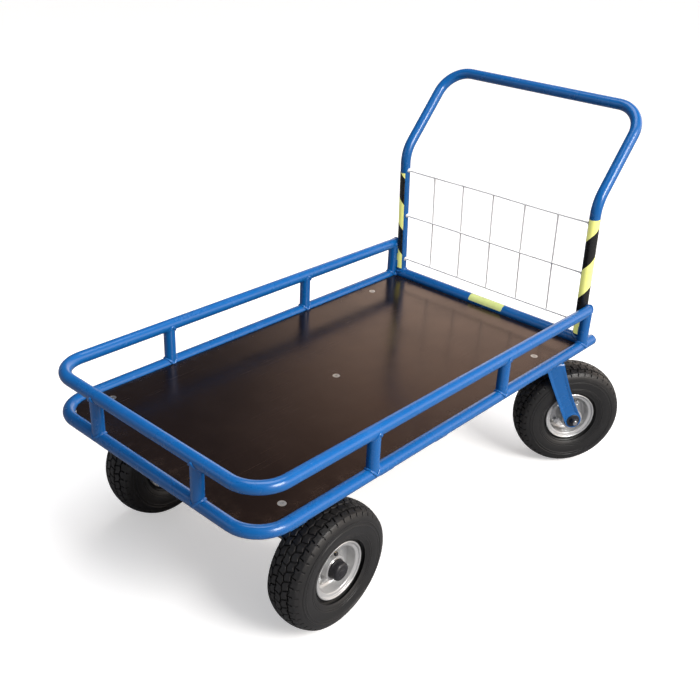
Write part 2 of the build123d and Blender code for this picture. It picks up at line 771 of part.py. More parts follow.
def wheel_hub(name, frame, hub_half):
    """Hub tube with bearing seats and a bolting flange just outside the rim's web."""
    seat_end = hub_half - BEARING_W
    with BuildPart() as hub:
        with BuildSketch(frame.section):
            with BuildLine():
                Polyline(
                    (-hub_half, SEAT_R),
                    (-hub_half, HUB_R),
                    (WEB_FACE, HUB_R),
                    (WEB_FACE, 42.0),
                    (HUB_FLANGE_FACE, 42.0),
                    (HUB_FLANGE_FACE, HUB_R),
                    (hub_half, HUB_R),
                    (hub_half, SEAT_R),
                    (seat_end, SEAT_R),
                    (seat_end, 18.0),
                    (-seat_end, 18.0),
                    (-seat_end, SEAT_R),
                    (-hub_half, SEAT_R),
                )
            make_face()
        revolve(axis=frame.axle)
        with BuildSketch(frame.across):
            with PolarLocations(RIM_BOLT_CIRCLE_R, RIM_BOLT_COUNT, start_angle=RIM_BOLT_START):
                Circle(RIM_HOLE_R)
        extrude(amount=8, mode=Mode.SUBTRACT)
    save(hub, f"{name}_hub")


def wheel_bearings(name, frame, hub_half):
    """A bearing at each end of the hub, with a groove in its outer face."""
    race_t, groove_depth, end_gap = 3, 0.8, 0.05
    bore_r = AXLE_R + RUN
    with BuildPart() as bearings:
        with BuildSketch(frame.section):
            for side in (1, -1):
                inner_x = side * (hub_half - BEARING_W + end_gap)
                outer_x = side * (hub_half - end_gap)
                groove_x = outer_x - side * groove_depth
                with BuildLine():
                    Polyline(
                        (inner_x, bore_r), (inner_x, BEARING_R), (outer_x, BEARING_R),
                        (outer_x, BEARING_R - race_t), (groove_x, BEARING_R - race_t),
                        (groove_x, bore_r + race_t), (outer_x, bore_r + race_t),
                        (outer_x, bore_r), (inner_x, bore_r),
                    )
                make_face()
        revolve(axis=frame.axle)
    save(bearings, f"{name}_bearings")


def wheel_rim_bolts(name, frame):
    """Four bolts with their nuts, holding the rim halves and the hub flange."""
    shank_start = -9.0
    head_face = HUB_FLANGE_FACE + 0.05
    with BuildPart() as bolts:
        with BuildSketch(frame.across.offset(shank_start)):
            with PolarLocations(RIM_BOLT_CIRCLE_R, RIM_BOLT_COUNT, start_angle=RIM_BOLT_START):
                Circle(4.0)
        extrude(amount=head_face - shank_start)
        with BuildSketch(frame.across.offset(head_face)):
            with PolarLocations(RIM_BOLT_CIRCLE_R, RIM_BOLT_COUNT, start_angle=RIM_BOLT_START):
                hexagon(M8_HEX)
        extrude(amount=5.0)
        chamfer(bolts.faces().sort_by(frame.axle)[-4:].edges(), length=0.8)
        with BuildSketch(frame.across.offset(-WEB_FACE)):
            with PolarLocations(RIM_BOLT_CIRCLE_R, RIM_BOLT_COUNT, start_angle=RIM_BOLT_START):
                hexagon(M8_HEX)
                Circle(4.03, mode=Mode.SUBTRACT)
        extrude(amount=-6.2)
    save(bolts, f"{name}_rim_bolts")


def build_wheel(name, centre, outward, hub_half):
    """One pneumatic wheel; the hub's flange is on the outward side."""
    frame = wheel_frame(centre, outward.normalized())
    wheel_tyre(name, frame)
    wheel_inner_tube(name, frame)
    wheel_rim(name, frame)
    wheel_hub(name, frame, hub_half)
    wheel_bearings(name, frame, hub_half)
    wheel_rim_bolts(name, frame)


# ------------------------------------------------------------------- castors
def castor_frame(side):
    """Points, directions and planes that a castor's pieces are drawn on."""
    c, s = cos(radians(SWIVEL_ANGLE)), sin(radians(SWIVEL_ANGLE))
    pivot = Vector(side * SWIVEL_X, SWIVEL_Y, 0)
    trailing = Vector(side * c, s, 0)
    return SimpleNamespace(
        pivot=pivot,
        trailing=trailing,
        along_axle=Vector(side * s, -c, 0),
        wheel=pivot + trailing * TRAIL + UP * WHEEL_R,
        # x trailing, y up
        side_view=Plane(origin=pivot, x_dir=trailing, z_dir=trailing.cross(UP)),
        plan=Plane(origin=pivot, x_dir=trailing, z_dir=(0, 0, 1)),
    )


def axle_plane(frame, distance):
    """Plane square to a castor's axle, at a distance from the wheel's middle."""
    along = frame.along_axle
    return Plane(origin=frame.wheel + along * distance, x_dir=UP, z_dir=along)


def castor_fork(name, frame):
    with BuildPart() as fork:
        for leg_start in (FORK_IN, -FORK_OUT):
            with BuildSketch(frame.side_view.offset(leg_start)):
                with BuildLine():
                    Polyline(*FORK_LEG)
                make_face()
                with Locations((TRAIL, WHEEL_R)):
                    ring(20, AXLE_BOLT_HOLE_R)
            extrude(amount=FORK_T)
        with BuildSketch(frame.plan.offset(CROWN_BOT)):
            Circle(38)
            with BuildLine():
                Polyline(*FORK_CROWN)
            make_face()
            Circle(KINGPIN_HOLE_R, mode=Mode.SUBTRACT)
        extrude(amount=CROWN_T)
        # rounded press bends along the top of each leg
        fillet(
            fork.edges()
            .filter_by(Axis(frame.pivot, frame.trailing))
            .filter_by(lambda e: e.center().Z > CROWN_TOP - 0.1),
            radius=4.5,
        )
    save(fork, f"{name}_fork")


def castor_swivel_bearing(name, frame):
    """Lower race pressed on the crown, with the ball ring running on it."""
    with BuildPart() as bearing:
        with BuildSketch(frame.plan.offset(CROWN_TOP)):
            ring(32, RACE_BORE_R)
        extrude(amount=4.0)
        with BuildSketch(frame.side_view):
            with Locations((BALL_RING_R, BALL_Z)):
                Circle(BALL_R + 0.05)
        revolve(axis=Axis(frame.pivot, (0, 0, 1)), mode=Mode.SUBTRACT)
        with Locations(Location(frame.pivot + UP * BALL_Z)):
            with PolarLocations(BALL_RING_R, BALL_COUNT):
                Sphere(BALL_R)
    save(bearing, f"{name}_swivel_bearing")


def castor_kingpin(name, frame):
    """Pin from the crown up through the top plate; its nut turns with it."""
    head_height = 6
    with BuildPart() as kingpin:
        with BuildSketch(frame.plan.offset(CROWN_BOT - head_height)):
            hexagon(KINGPIN_HEX)
        extrude(amount=head_height)
        with BuildSketch(frame.plan.offset(CROWN_BOT)):
            Circle(KINGPIN_R)
        extrude(amount=DECK_BOT - 0.6 - CROWN_BOT)
        with BuildSketch(frame.plan.offset(PLATE_BOT + PLATE_T + 0.15)):
            hexagon(KINGPIN_HEX)
            Circle(KINGPIN_R + 0.05, mode=Mode.SUBTRACT)
        extrude(amount=4.8)
    save(kingpin, f"{name}_kingpin")


def castor_axle_sleeve(name, frame):
    """Sleeve between the legs: the bearings run on it."""
    with BuildPart() as sleeve:
        with BuildSketch(axle_plane(frame, -FORK_IN)):
            ring(AXLE_R, AXLE_BOLT_HOLE_R)
        extrude(amount=2 * FORK_IN)
    save(sleeve, f"{name}_axle_sleeve")


def castor_axle_bolt(name, frame):
    head_height, head_overlap, end_length = 7.5, 0.5, 14
    axle = Axis(frame.wheel, frame.along_axle)
    with BuildPart() as bolt:
        with BuildSketch(axle_plane(frame, -(FORK_OUT + head_height))):
            hexagon(M12_HEX)
        extrude(amount=head_height)
        chamfer(bolt.faces().sort_by(axle)[0].edges(), length=1.0)
        with BuildSketch(axle_plane(frame, -(FORK_OUT + head_overlap))):
            Circle(STUD_R)
        extrude(amount=2 * FORK_OUT + head_overlap + end_length)
        chamfer(bolt.faces().sort_by(axle)[-1].edges(), length=1.0)
    save(bolt, f"{name}_axle_bolt")


def castor_axle_nut(name, frame):
    """Washer, hexagon nut and round collar in one piece."""
    washer_t, nut_height, collar_height = 2.0, 9.0, 2.5
    with BuildPart() as nut:
        with BuildSketch(axle_plane(frame, FORK_OUT)):
            ring(16.0, NUT_BORE_R)
        extrude(amount=washer_t)
        with BuildSketch(axle_plane(frame, FORK_OUT + washer_t)):
            hexagon(M12_HEX)
            Circle(NUT_BORE_R, mode=Mode.SUBTRACT)
        extrude(amount=nut_height)
        with BuildSketch(axle_plane(frame, FORK_OUT + washer_t + nut_height)):
            ring(8.2, NUT_BORE_R)
        extrude(amount=collar_height)
    save(nut, f"{name}_axle_nut")


def build_castor(name, side):
    """Swivel castor with its wheel."""
    frame = castor_frame(side)
    castor_fork(name, frame)
    castor_swivel_bearing(name, frame)
    castor_kingpin(name, frame)
    castor_axle_sleeve(name, frame)
    castor_axle_bolt(name, frame)
    castor_axle_nut(name, frame)
    build_wheel(name, frame.wheel, frame.along_axle, CASTOR_HUB_HALF)


def castor_top_plates():
    """Castor top plates, with the upper ball race pressed down from the plate."""
    race_bottom = CROWN_TOP + 9.2
    with BuildPart() as plates:
        with BuildSketch(Plane.XY.offset(PLATE_BOT)):
            with Locations(*SWIVEL_XY):
                RectangleRounded(105, 135, 10)
                Circle(KINGPIN_HOLE_R, mode=Mode.SUBTRACT)
                with GridLocations(*PLATE_HOLE_GRID):
                    Circle(4.3, mode=Mode.SUBTRACT)
        extrude(amount=PLATE_T)
        with BuildSketch(Plane.XY.offset(race_bottom)):
            with Locations(*SWIVEL_XY):
                ring(33, RACE_BORE_R)
        extrude(amount=PLATE_BOT - race_bottom)
        for x, y in SWIVEL_XY:
            with BuildSketch(Plane(origin=(x, y, 0), x_dir=(1, 0, 0), z_dir=(0, -1, 0))):
                with Locations((BALL_RING_R, BALL_Z)):
                    Circle(BALL_R + 0.06)
            revolve(axis=Axis((x, y, 0), (0, 0, 1)), mode=Mode.SUBTRACT)
    save(plates, "castor_top_plates")


def castor_plate_bolts():
    """Bolts up through the top plates, ending inside the mount plates."""
    head_height, head_overlap = 5.3, 1
    with BuildPart() as bolts:
        with BuildSketch(Plane.XY.offset(PLATE_BOT - head_height)):
            with Locations(*SWIVEL_XY):
                with GridLocations(*PLATE_HOLE_GRID):
                    hexagon(M8_HEX)
        extrude(amount=head_height)
        with BuildSketch(Plane.XY.offset(PLATE_BOT - head_overlap)):
            with Locations(*SWIVEL_XY):
                with GridLocations(*PLATE_HOLE_GRID):
                    Circle(3.97)
        extrude(amount=head_overlap + PLATE_T + MOUNT_T - 2.0)
    save(bolts, "castor_plate_bolts")


# --------------------------------------------------------------------- build
deck_frame_tube()
rail_posts()
rear_rail_posts()
upper_rail_tube()
rear_cross_tube()
tube_end_caps()
deck_cross_members()
castor_mount_plates()

deck_panel()
deck_bolts()
deck_lock_nuts()

handle_tube()
mesh_horizontal_wires()
mesh_vertical_wires()
hazard_tapes()
label_plate()

axle_brackets()
front_axle()
axle_spacers()
axle_nuts()
axle_end_caps()

for side_name, side in (("right", 1), ("left", -1)):
    wheel_centre = Vector(side * WHEEL_X, AXLE_Y, WHEEL_R)
    build_wheel(f"front_{side_name}", wheel_centre, Vector(side, 0, 0), FRONT_HUB_HALF)
    build_castor(f"castor_{side_name}", side)
castor_top_plates()
castor_plate_bolts()
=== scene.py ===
"""Looks of a platform trolley, built round its CAD frame.

The trolley stands on its wheels. Lengths are millimetres in the frame's own axes:
+X across, +Y to the handle (the rear), +Z up, origin on the floor. Meshes,
textures, lights and the camera are in metres.
"""

import math
from functools import cached_property

import bmesh
import bpy
import numpy as np
from mathutils import Matrix, Vector

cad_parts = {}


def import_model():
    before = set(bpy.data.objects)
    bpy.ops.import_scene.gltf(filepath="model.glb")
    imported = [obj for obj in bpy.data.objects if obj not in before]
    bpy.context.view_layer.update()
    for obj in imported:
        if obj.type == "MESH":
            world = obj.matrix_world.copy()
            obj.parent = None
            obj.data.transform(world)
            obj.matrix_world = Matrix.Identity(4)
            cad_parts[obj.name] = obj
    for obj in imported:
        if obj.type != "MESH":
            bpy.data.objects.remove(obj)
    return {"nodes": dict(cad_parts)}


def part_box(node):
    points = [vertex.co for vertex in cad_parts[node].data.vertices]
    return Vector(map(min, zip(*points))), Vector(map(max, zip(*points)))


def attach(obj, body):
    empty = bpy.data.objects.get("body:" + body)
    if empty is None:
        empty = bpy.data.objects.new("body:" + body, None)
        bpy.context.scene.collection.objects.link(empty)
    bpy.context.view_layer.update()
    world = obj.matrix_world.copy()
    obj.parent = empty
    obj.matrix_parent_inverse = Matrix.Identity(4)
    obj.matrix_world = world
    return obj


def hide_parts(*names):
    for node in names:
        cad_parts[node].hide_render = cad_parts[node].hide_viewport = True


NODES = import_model()["nodes"]
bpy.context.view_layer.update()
MM = 0.001
X, Y, Z = np.eye(3)


def unit(vectors):
    vectors = np.asarray(vectors, float)
    length = np.linalg.norm(vectors, axis=-1, keepdims=True)
    return vectors / np.where(length < 1e-12, 1, length)


def box(node):
    low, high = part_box(node)
    return np.array(low) * 1000.0, np.array(high) * 1000.0


# ------------------------------------------------------------ driving dimensions
frame_low, frame_high = box("deck_frame_tube")
cross_low, cross_high = box("rear_cross_tube")
handle_high = box("handle_tube")[1]
wires_low, wires_high = box("mesh_horizontal_wires")
upright_low, upright_high = box("mesh_vertical_wires")
deck_low, deck_high = box("deck_panel")

# round tubes of the frame, the upper rail and the posts
TUBE_R = (frame_high[2] - frame_low[2]) / 2
TUBE_WALL = 2.0
CORNER_R = 66.0
STRAIGHT_STEP = 60.0
HALF_X = frame_high[0] - TUBE_R
FRONT_Y = frame_low[1] + TUBE_R
FRAME_Z = (frame_low[2] + frame_high[2]) / 2
FRAME_END_Y = frame_high[1]
RAIL_Z = box("upper_rail_tube")[1][2] - TUBE_R
REAR_POST_Y = box("rear_rail_posts")[0][1] + TUBE_R
SIDE_POST_Y = (-311.0, 101.0)
FRONT_POST_X = 144.0

# thicker tube across the rear, which carries the handle
CROSS_R = (cross_high[2] - cross_low[2]) / 2
CROSS_WALL = 2.5
CROSS_Y = (cross_low[1] + cross_high[1]) / 2
CROSS_Z = (cross_low[2] + cross_high[2]) / 2
CROSS_CENTRE = (0, CROSS_Y, CROSS_Z)

# handle: its uprights lean forward up to a bend, then run back to the grip
UPRIGHT_X = handle_high[0] - TUBE_R
BEND_Y, BEND_Z = 433.5, 664.4
BEND_R = 75.0
GRIP_Y, GRIP_Z = 593.0, handle_high[2] - TUBE_R
LEAN = (CROSS_Y - BEND_Y) / (BEND_Z - CROSS_Z)
UPRIGHT_AXIS = unit([0, -LEAN, 1.0])
UPRIGHT_BACK = unit([0, 1.0, LEAN])

# wire mesh between the uprights
WIRE_PITCH = 88.4
WIRE_R = (upright_high[0] - upright_low[0] - 4 * WIRE_PITCH) / 2
WIRE_Z = (wires_low[2] + WIRE_R, (wires_low[2] + wires_high[2]) / 2, wires_high[2] - WIRE_R)
WIRE_SEG = 20

DECK_BOTTOM, DECK_TOP = deck_low[2], deck_high[2]
DECK_HOLES = [(-245, -493), (245, -493), (-245, 303), (245, 303), (0, -95)]


def upright_y(z):
    return CROSS_Y - LEAN * (z - CROSS_Z)


# -------------------------------------------------------------- mesh building
class Mesh:
    """Collects vertices, in millimetres, and faces."""

    def __init__(self):
        self.blocks, self.count, self.faces, self.materials = [], 0, [], []

    def add(self, points):
        """Adds vertices and returns the index of the first."""
        points = np.asarray(points, float).reshape(-1, 3)
        first = self.count
        self.blocks.append(points)
        self.count += len(points)
        return first

    def face(self, corners, material=0):
        self.faces.append(tuple(int(i) for i in corners))
        self.materials.append(material)

    def grid(self, points, wrap_u=False, wrap_v=False):
        """Quads between neighbours of points (nu, nv, 3). Returns the first index."""
        nu, nv = points.shape[:2]
        first = self.add(points)
        u, v = np.meshgrid(np.arange(nu if wrap_u else nu - 1),
                           np.arange(nv if wrap_v else nv - 1), indexing="ij")
        next_u, next_v = (u + 1) % nu, (v + 1) % nv
        quads = np.stack([u * nv + v, next_u * nv + v, next_u * nv + next_v, u * nv + next_v], -1)
        quads = quads.reshape(-1, 4) + first
        self.faces.extend(map(tuple, quads.tolist()))
        self.materials.extend([0] * len(quads))
        return first

    def solid(self, points):
        """A skin of points (around, along, 3), both of its ends closed by a polygon."""
        around, along = points.shape[:2]
        first = self.grid(points, wrap_u=True)
        self.face([first + i * along for i in range(around)])
        self.face([first + i * along + along - 1 for i in range(around)][::-1])

    def thin_sheet(self, outer, inner):
        """Closes two grids of the same shape into one thin sheet."""
        nu, nv = outer.shape[:2]
        first = self.grid(np.concatenate([outer, inner[::-1]], 0), wrap_u=True)
        for j in (0, nv - 1):
            for i in range(nu - 1):
                outer_0, outer_1 = first + i * nv + j, first + (i + 1) * nv + j
                inner_0 = first + (2 * nu - 1 - i) * nv + j
                inner_1 = first + (2 * nu - 2 - i) * nv + j
                quad = [outer_0, outer_1, inner_1, inner_0]
                self.face(quad if j == 0 else [quad[1], quad[0], quad[3], quad[2]])

    def band(self, row_0, row_1, count, material):
        """Quads between two closed rows, given by their first indices."""
        for i in range(count):
            j = (i + 1) % count
            self.face([row_0 + i, row_1 + i, row_1 + j, row_0 + j], material)


def add_bevel(ob, width, angle):
    bevel = ob.modifiers.new("edge", "BEVEL")
    bevel.width, bevel.segments = width * MM, 2
    bevel.limit_method, bevel.angle_limit = "ANGLE", math.radians(angle)
    bevel.harden_normals = True


def add_object(name, m, slot, replaces=(), materials=None, body="chassis", sharp=38,
               wheel=None, vectors=None, bevel=None, weighted=False):
    """Makes the object, rides it on its body and hides the CAD nodes it replaces.

    wheel is the spindle in whose axes the attribute "wl" is stored; vectors holds
    further attributes, one vector per vertex. Without materials it takes its slot's.
    """
    verts = np.concatenate(m.blocks)
    me = bpy.data.meshes.new(name)
    me.from_pydata((verts * MM).tolist(), [], m.faces)
    me.polygons.foreach_set("material_index", np.array(m.materials, np.int32))
    vectors = dict(vectors or {})
    if wheel is not None:
        local = (verts - wheel.centre) * MM
        vectors["wl"] = np.stack([local @ wheel.axis, local @ wheel.up, local @ wheel.side], -1)
    for key, values in vectors.items():
        attribute = me.attributes.new(key, "FLOAT_VECTOR", "POINT")
        attribute.data.foreach_set("vector", np.asarray(values, np.float32).ravel())
    me.update()
    bm = bmesh.new()
    bm.from_mesh(me)
    bmesh.ops.recalc_face_normals(bm, faces=bm.faces)
    bm.to_mesh(me)
    bm.free()
    me.shade_smooth()
    me.set_sharp_from_angle(angle=math.radians(sharp))
    for material in materials or [SLOT_MATERIALS[slot]]:
        me.materials.append(material)
    ob = bpy.data.objects.new(name, me)
    bpy.context.scene.collection.objects.link(ob)
    if bevel:
        add_bevel(ob, bevel, angle=30)
    if weighted:
        ob.modifiers.new("wn", "WEIGHTED_NORMAL").keep_sharp = True
    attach(ob, body)
    if replaces:
        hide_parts(*replaces)


# -------------------------------------------------------------- turned shapes
def around(seg):
    return np.arange(seg) * 2 * math.pi / seg


class Spindle:
    """A centre and axis to turn shapes about, with two directions square to the axis."""

    def __init__(self, centre, axis, up):
        self.centre, self.axis, self.up = centre, axis, up
        self.side = np.cross(axis, up)

    def ring(self, along, radius, angles):
        """One point per angle; along and radius are single values or one per angle."""
        spokes = np.cos(angles)[:, None] * self.up + np.sin(angles)[:, None] * self.side
        return (self.centre + np.reshape(along, (-1, 1)) * self.axis
                + np.reshape(radius, (-1, 1)) * spokes)

    def turned(self, profile, seg):
        angles = around(seg)
        return np.stack([self.ring(along, radius, angles) for along, radius in profile], 1)


def revolve(m, profile, spindle, seg):
    """Turns a closed profile of (along the axis, radius)."""
    m.grid(spindle.turned(profile, seg), wrap_u=True, wrap_v=True)


def revolve_solid(m, profile, spindle, seg=64):
    """Turns an open profile of (along the axis, radius) and closes its two end rings."""
    m.solid(spindle.turned(profile, seg))


def hexagon(m, spindle, start, end, across_flats, bore=0.0, dish=0.0, seg=72):
    """A hexagon from start to end, its corners turned to a cone at the end.

    With a bore it is a nut; without one it is a head with a dished top.
    """
    from_flat = (around(seg) + math.pi / 6) % (math.pi / 3) - math.pi / 6
    corner_r = across_flats / 2 / np.cos(from_flat)
    cone_r = across_flats / 2 * 0.955
    sign = 1 if end > start else -1
    cone_drop = sign * (corner_r - cone_r) * math.tan(math.radians(30))
    profile = [(start, corner_r), (end - cone_drop, corner_r), (end, cone_r)]
    if bore > 0:
        chamfer = 0.6
        profile = [(start, bore), *profile, (end, bore + chamfer), (end - sign * chamfer, bore)]
        revolve(m, profile, spindle, seg)
    else:
        profile += [(end, cone_r * 0.72), (end - sign * dish, cone_r * 0.6)]
        revolve_solid(m, profile, spindle, seg)


# (share of the pitch, depth below the crest)
THREAD_FORM = ((0.22, 0.0), (0.42, 0.0), (0.78, 0.62), (0.95, 0.62))


def thread(m, spindle, start, end, radius, pitch=1.25, seg=40):
    """A threaded bar end, chamfered at its end."""
    sign = 1 if end > start else -1
    turns = max(1, int((abs(end - start) - 1.0) / pitch))
    profile = [(start, radius - 0.2)]
    for i in range(turns):
        profile += [(start + sign * pitch * (i + share), radius - depth)
                    for share, depth in THREAD_FORM]
    profile += [(end - sign * 0.9, radius - 0.1), (end - sign * 0.1, radius - 1.0),
                (end, radius - 1.4)]
    revolve_solid(m, profile, spindle, seg)


def rounded(points, radii, steps):
    """A closed 2D polygon with each corner replaced by an arc, steps per quarter turn."""
    points = [np.array(p, float) for p in points]
    result = []
    for i, (corner, radius) in enumerate(zip(points, radii)):
        before, after = points[i - 1], points[(i + 1) % len(points)]
        heading_0, heading_1 = unit(corner - before), unit(after - corner)
        cosine = float(np.clip(heading_0 @ heading_1, -1, 1))
        angle = math.acos(cosine)
        if radius <= 0 or angle < 0.05:
            result.append(corner)
            continue
        cut = min(radius * math.tan(angle / 2), 0.48 * np.linalg.norm(corner - before),
                  0.48 * np.linalg.norm(after - corner))
        arc_r = cut / math.tan(angle / 2)
        inward = unit(heading_1 - heading_0 * cosine)
        centre = corner - heading_0 * cut + inward * arc_r
        count = max(2, int(round(steps * angle / (math.pi / 2))))
        for j in range(count + 1):
            turn = angle * j / count
            result.append(centre - inward * arc_r * math.cos(turn)
                          + heading_0 * arc_r * math.sin(turn))
    return np.array(result)


# --------------------------------------------------------------- tubes on paths
# A path is a pair of arrays: points, and the heading at each point.
def fillet_path(corners, radii, degrees):
    """A polyline whose corners are arcs, one point every so many degrees."""
    corners = [np.array(p, float) for p in corners]
    points, headings = [corners[0]], [unit(corners[1] - corners[0])]
    for i, radius in enumerate(radii, 1):
        heading_0 = unit(corners[i] - corners[i - 1])
        heading_1 = unit(corners[i + 1] - corners[i])
        cosine = heading_0 @ heading_1
        angle = math.acos(float(np.clip(cosine, -1, 1)))
        inward = unit(heading_1 - heading_0 * cosine)
        start = corners[i] - heading_0 * radius * math.tan(angle / 2)
        centre = start + inward * radius
        count = max(3, int(math.ceil(math.degrees(angle) / degrees)))
        # a short straight run either side keeps the shading tight
        points.append(start - heading_0 * 1.0)
        headings.append(heading_0)
        for j in range(count + 1):
            turn = angle * j / count
            points.append(centre - inward * radius * math.cos(turn)
                          + heading_0 * radius * math.sin(turn))
            headings.append(unit(heading_0 * math.cos(turn) + inward * math.sin(turn)))
        points.append(points[-1] + heading_1 * 1.0)
        headings.append(heading_1)
    points.append(corners[-1])
    headings.append(unit(corners[-1] - corners[-2]))
    return points, headings


def bent_path(corners, radii, degrees=2.5):
    """A filleted path with extra points along its long straight runs."""
    points, headings = fillet_path(corners, radii, degrees)
    all_points, all_headings = [points[0]], [headings[0]]
    for i in range(1, len(points)):
        extra = int(np.linalg.norm(points[i] - points[i - 1]) // STRAIGHT_STEP)
        for j in range(1, extra + 1):
            share = j / (extra + 1)
            all_points.append(points[i - 1] * (1 - share) + points[i] * share)
            all_headings.append(headings[i - 1])
        all_points.append(points[i])
        all_headings.append(headings[i])
    return np.array(all_points), np.array(all_headings)


def straight_path(points, heading):
    return np.array(points, float), np.repeat([heading], len(points), 0)


def carry_normal(headings, normal):
    """Carries a normal along the path without twist."""
    normals = [unit(normal - headings[0] * (headings[0] @ normal))]
    for before, after in zip(headings[:-1], headings[1:]):
        axis = np.cross(before, after)
        sine = np.linalg.norm(axis)
        normal = normals[-1]
        if sine > 1e-9:
            axis /= sine
            angle = math.atan2(sine, float(before @ after))
            normal = (normal * math.cos(angle) + np.cross(axis, normal) * math.sin(angle)
                      + axis * (axis @ normal) * (1 - math.cos(angle)))
        normals.append(unit(normal - after * (after @ normal)))
    return np.array(normals)


def rings(path, normal, radius, seg):
    """Rings of points (along, around, 3) about the path."""
    points, headings = path
    normals = carry_normal(headings, normal)
    sides = np.cross(headings, normals)
    angles = around(seg)[None, :, None]
    return points[:, None, :] + radius * (np.cos(angles) * normals[:, None, :]
                                          + np.sin(angles) * sides[:, None, :])


def hit_cylinder(points, heading, centre, axis, radius):
    """Distance from each point to the cylinder's near side, and which points miss."""
    axis, heading = unit(axis), unit(heading)
    offset = points - np.array(centre, float)
    offset = offset - (offset @ axis)[:, None] * axis
    across = heading - (heading @ axis) * axis
    a, b, c = across @ across, 2 * offset @ across, (offset * offset).sum(1) - radius * radius
    inside_root = b * b - 4 * a * c
    return (-b - np.sqrt(np.maximum(inside_root, 0))) / (2 * a), inside_root < 0


def cope(centre, axis, radius):
    """An end rule that stops a tube on a cylinder."""
    return lambda points, heading: hit_cylinder(points, heading, centre, axis, radius)[0]


def rear_mitre(points, heading):
    """The end rule of the sloping joint at the rear upper corners."""
    normal = unit([0, 1, -1])
    return ((np.array([0, REAR_POST_Y, RAIL_Z]) - points) @ normal) / (heading @ normal)


def tube(m, path, normal, radius=TUBE_R, wall=TUBE_WALL, seg=64, start=None, end=None):
    """A hollow tube; start and end are rules that give the distance to trim to."""
    headings = path[1]
    outer, inner = rings(path, normal, radius, seg), rings(path, normal, radius - wall, seg)
    for skin in (outer, inner):
        if start is not None:
            skin[0] = skin[0] + start(skin[0], -headings[0])[:, None] * (-headings[0])
        if end is not None:
            skin[-1] = skin[-1] + end(skin[-1], headings[-1])[:, None] * headings[-1]
    m.grid(np.concatenate([outer, inner[::-1]], 0).transpose(1, 0, 2), wrap_u=True, wrap_v=True)
    return outer


# ----------------------------------------------------------------------- welds
RIPPLE = 2.7


def seam_weld(m, seam, normals_0, normals_1, radius, seed, lift=0.3, seg=10):
    """A weld bead on the closed seam between surfaces with the two sets of normals."""
    lengths = np.linalg.norm(np.roll(seam, -1, 0) - seam, axis=1)
    distance = np.concatenate([[0], np.cumsum(lengths)])
    total = distance[-1]
    # even spacing, so that the ripples are even
    count = max(48, int(total / 0.62))
    spots = np.arange(count) * total / count

    def sample(values):
        closed = np.concatenate([values, values[:1]], 0)
        return np.stack([np.interp(spots, distance, closed[:, j]) for j in range(3)], -1)

    seam = sample(seam)
    heading = unit(np.roll(seam, -1, 0) - np.roll(seam, 1, 0))
    outward = unit(sample(normals_0)) + unit(sample(normals_1))
    outward = unit(outward - (outward * heading).sum(1)[:, None] * heading)
    across = np.cross(heading, outward)
    waves = max(1, round(total / RIPPLE))
    phase = spots / total * 2 * math.pi
    rippled = radius * (1 + 0.085 * np.abs(np.sin(phase * waves / 2 + seed))
                        + 0.06 * np.sin(phase * 3 + seed)
                        + 0.04 * np.sin(phase * 7 + 2.1 * seed))
    angles = around(seg)[None, :, None]
    m.grid(seam[:, None, :] + outward[:, None, :] * (lift * radius)
           + rippled[:, None, None] * (0.86 * np.cos(angles) * outward[:, None, :]
                                       + 1.1 * np.sin(angles) * across[:, None, :]),
           wrap_u=True, wrap_v=True)


def cylinder_normal(points, centre, axis):
    axis = unit(axis)
    offset = points - np.array(centre, float)
    return unit(offset - (offset @ axis)[:, None] * axis)


def stitch_weld(m, start, end, outward, radius, seed, seg=8):
    """A short weld run between two points, with rounded ends."""
    heading = unit(end - start)
    length = np.linalg.norm(end - start)
    across = np.cross(heading, outward)
    count = max(10, int(length / 0.8))
    along = np.linspace(0, 1, count) * length
    # the run rounds off over this length at each end
    end_length = 3.0
    from_end = np.minimum(1, np.minimum(along, length - along) / end_length)
    taper = np.sqrt(np.clip(1 - (1 - from_end) ** 2, 0.02, 1))
    rippled = radius * taper * (1 + 0.09 * np.abs(np.sin(along / RIPPLE * math.pi + seed)))
    angles = around(seg)[None, :, None]
    points = ((start + along[:, None] * heading)[:, None, :] + outward * 0.25 * radius
              + rippled[:, None, None] * (0.85 * np.cos(angles) * outward
                                          + 1.1 * np.sin(angles) * across))
    m.solid(points.transpose(1, 0, 2))


# ---------------------------------------------------------------- shader nodes
class Value:
    """The output of a node, open to arithmetic."""

    def __init__(self, graph, socket):
        self.graph, self.socket = graph, socket

    def __mul__(self, other):
        return self.graph.math("MULTIPLY", self, other)

    def __add__(self, other):
        return self.graph.math("ADD", self, other)

    def __sub__(self, other):
        return self.graph.math("SUBTRACT", self, other)

    def ramp(self, span, to=(0.0, 1.0)):
        """Maps the span smoothly onto the range to, clamped."""
        return self.graph.value("MapRange", 0, {"interpolation_type": "SMOOTHSTEP"}, Value=self,
                                From_Min=span[0], From_Max=span[1], To_Min=to[0], To_Max=to[1])


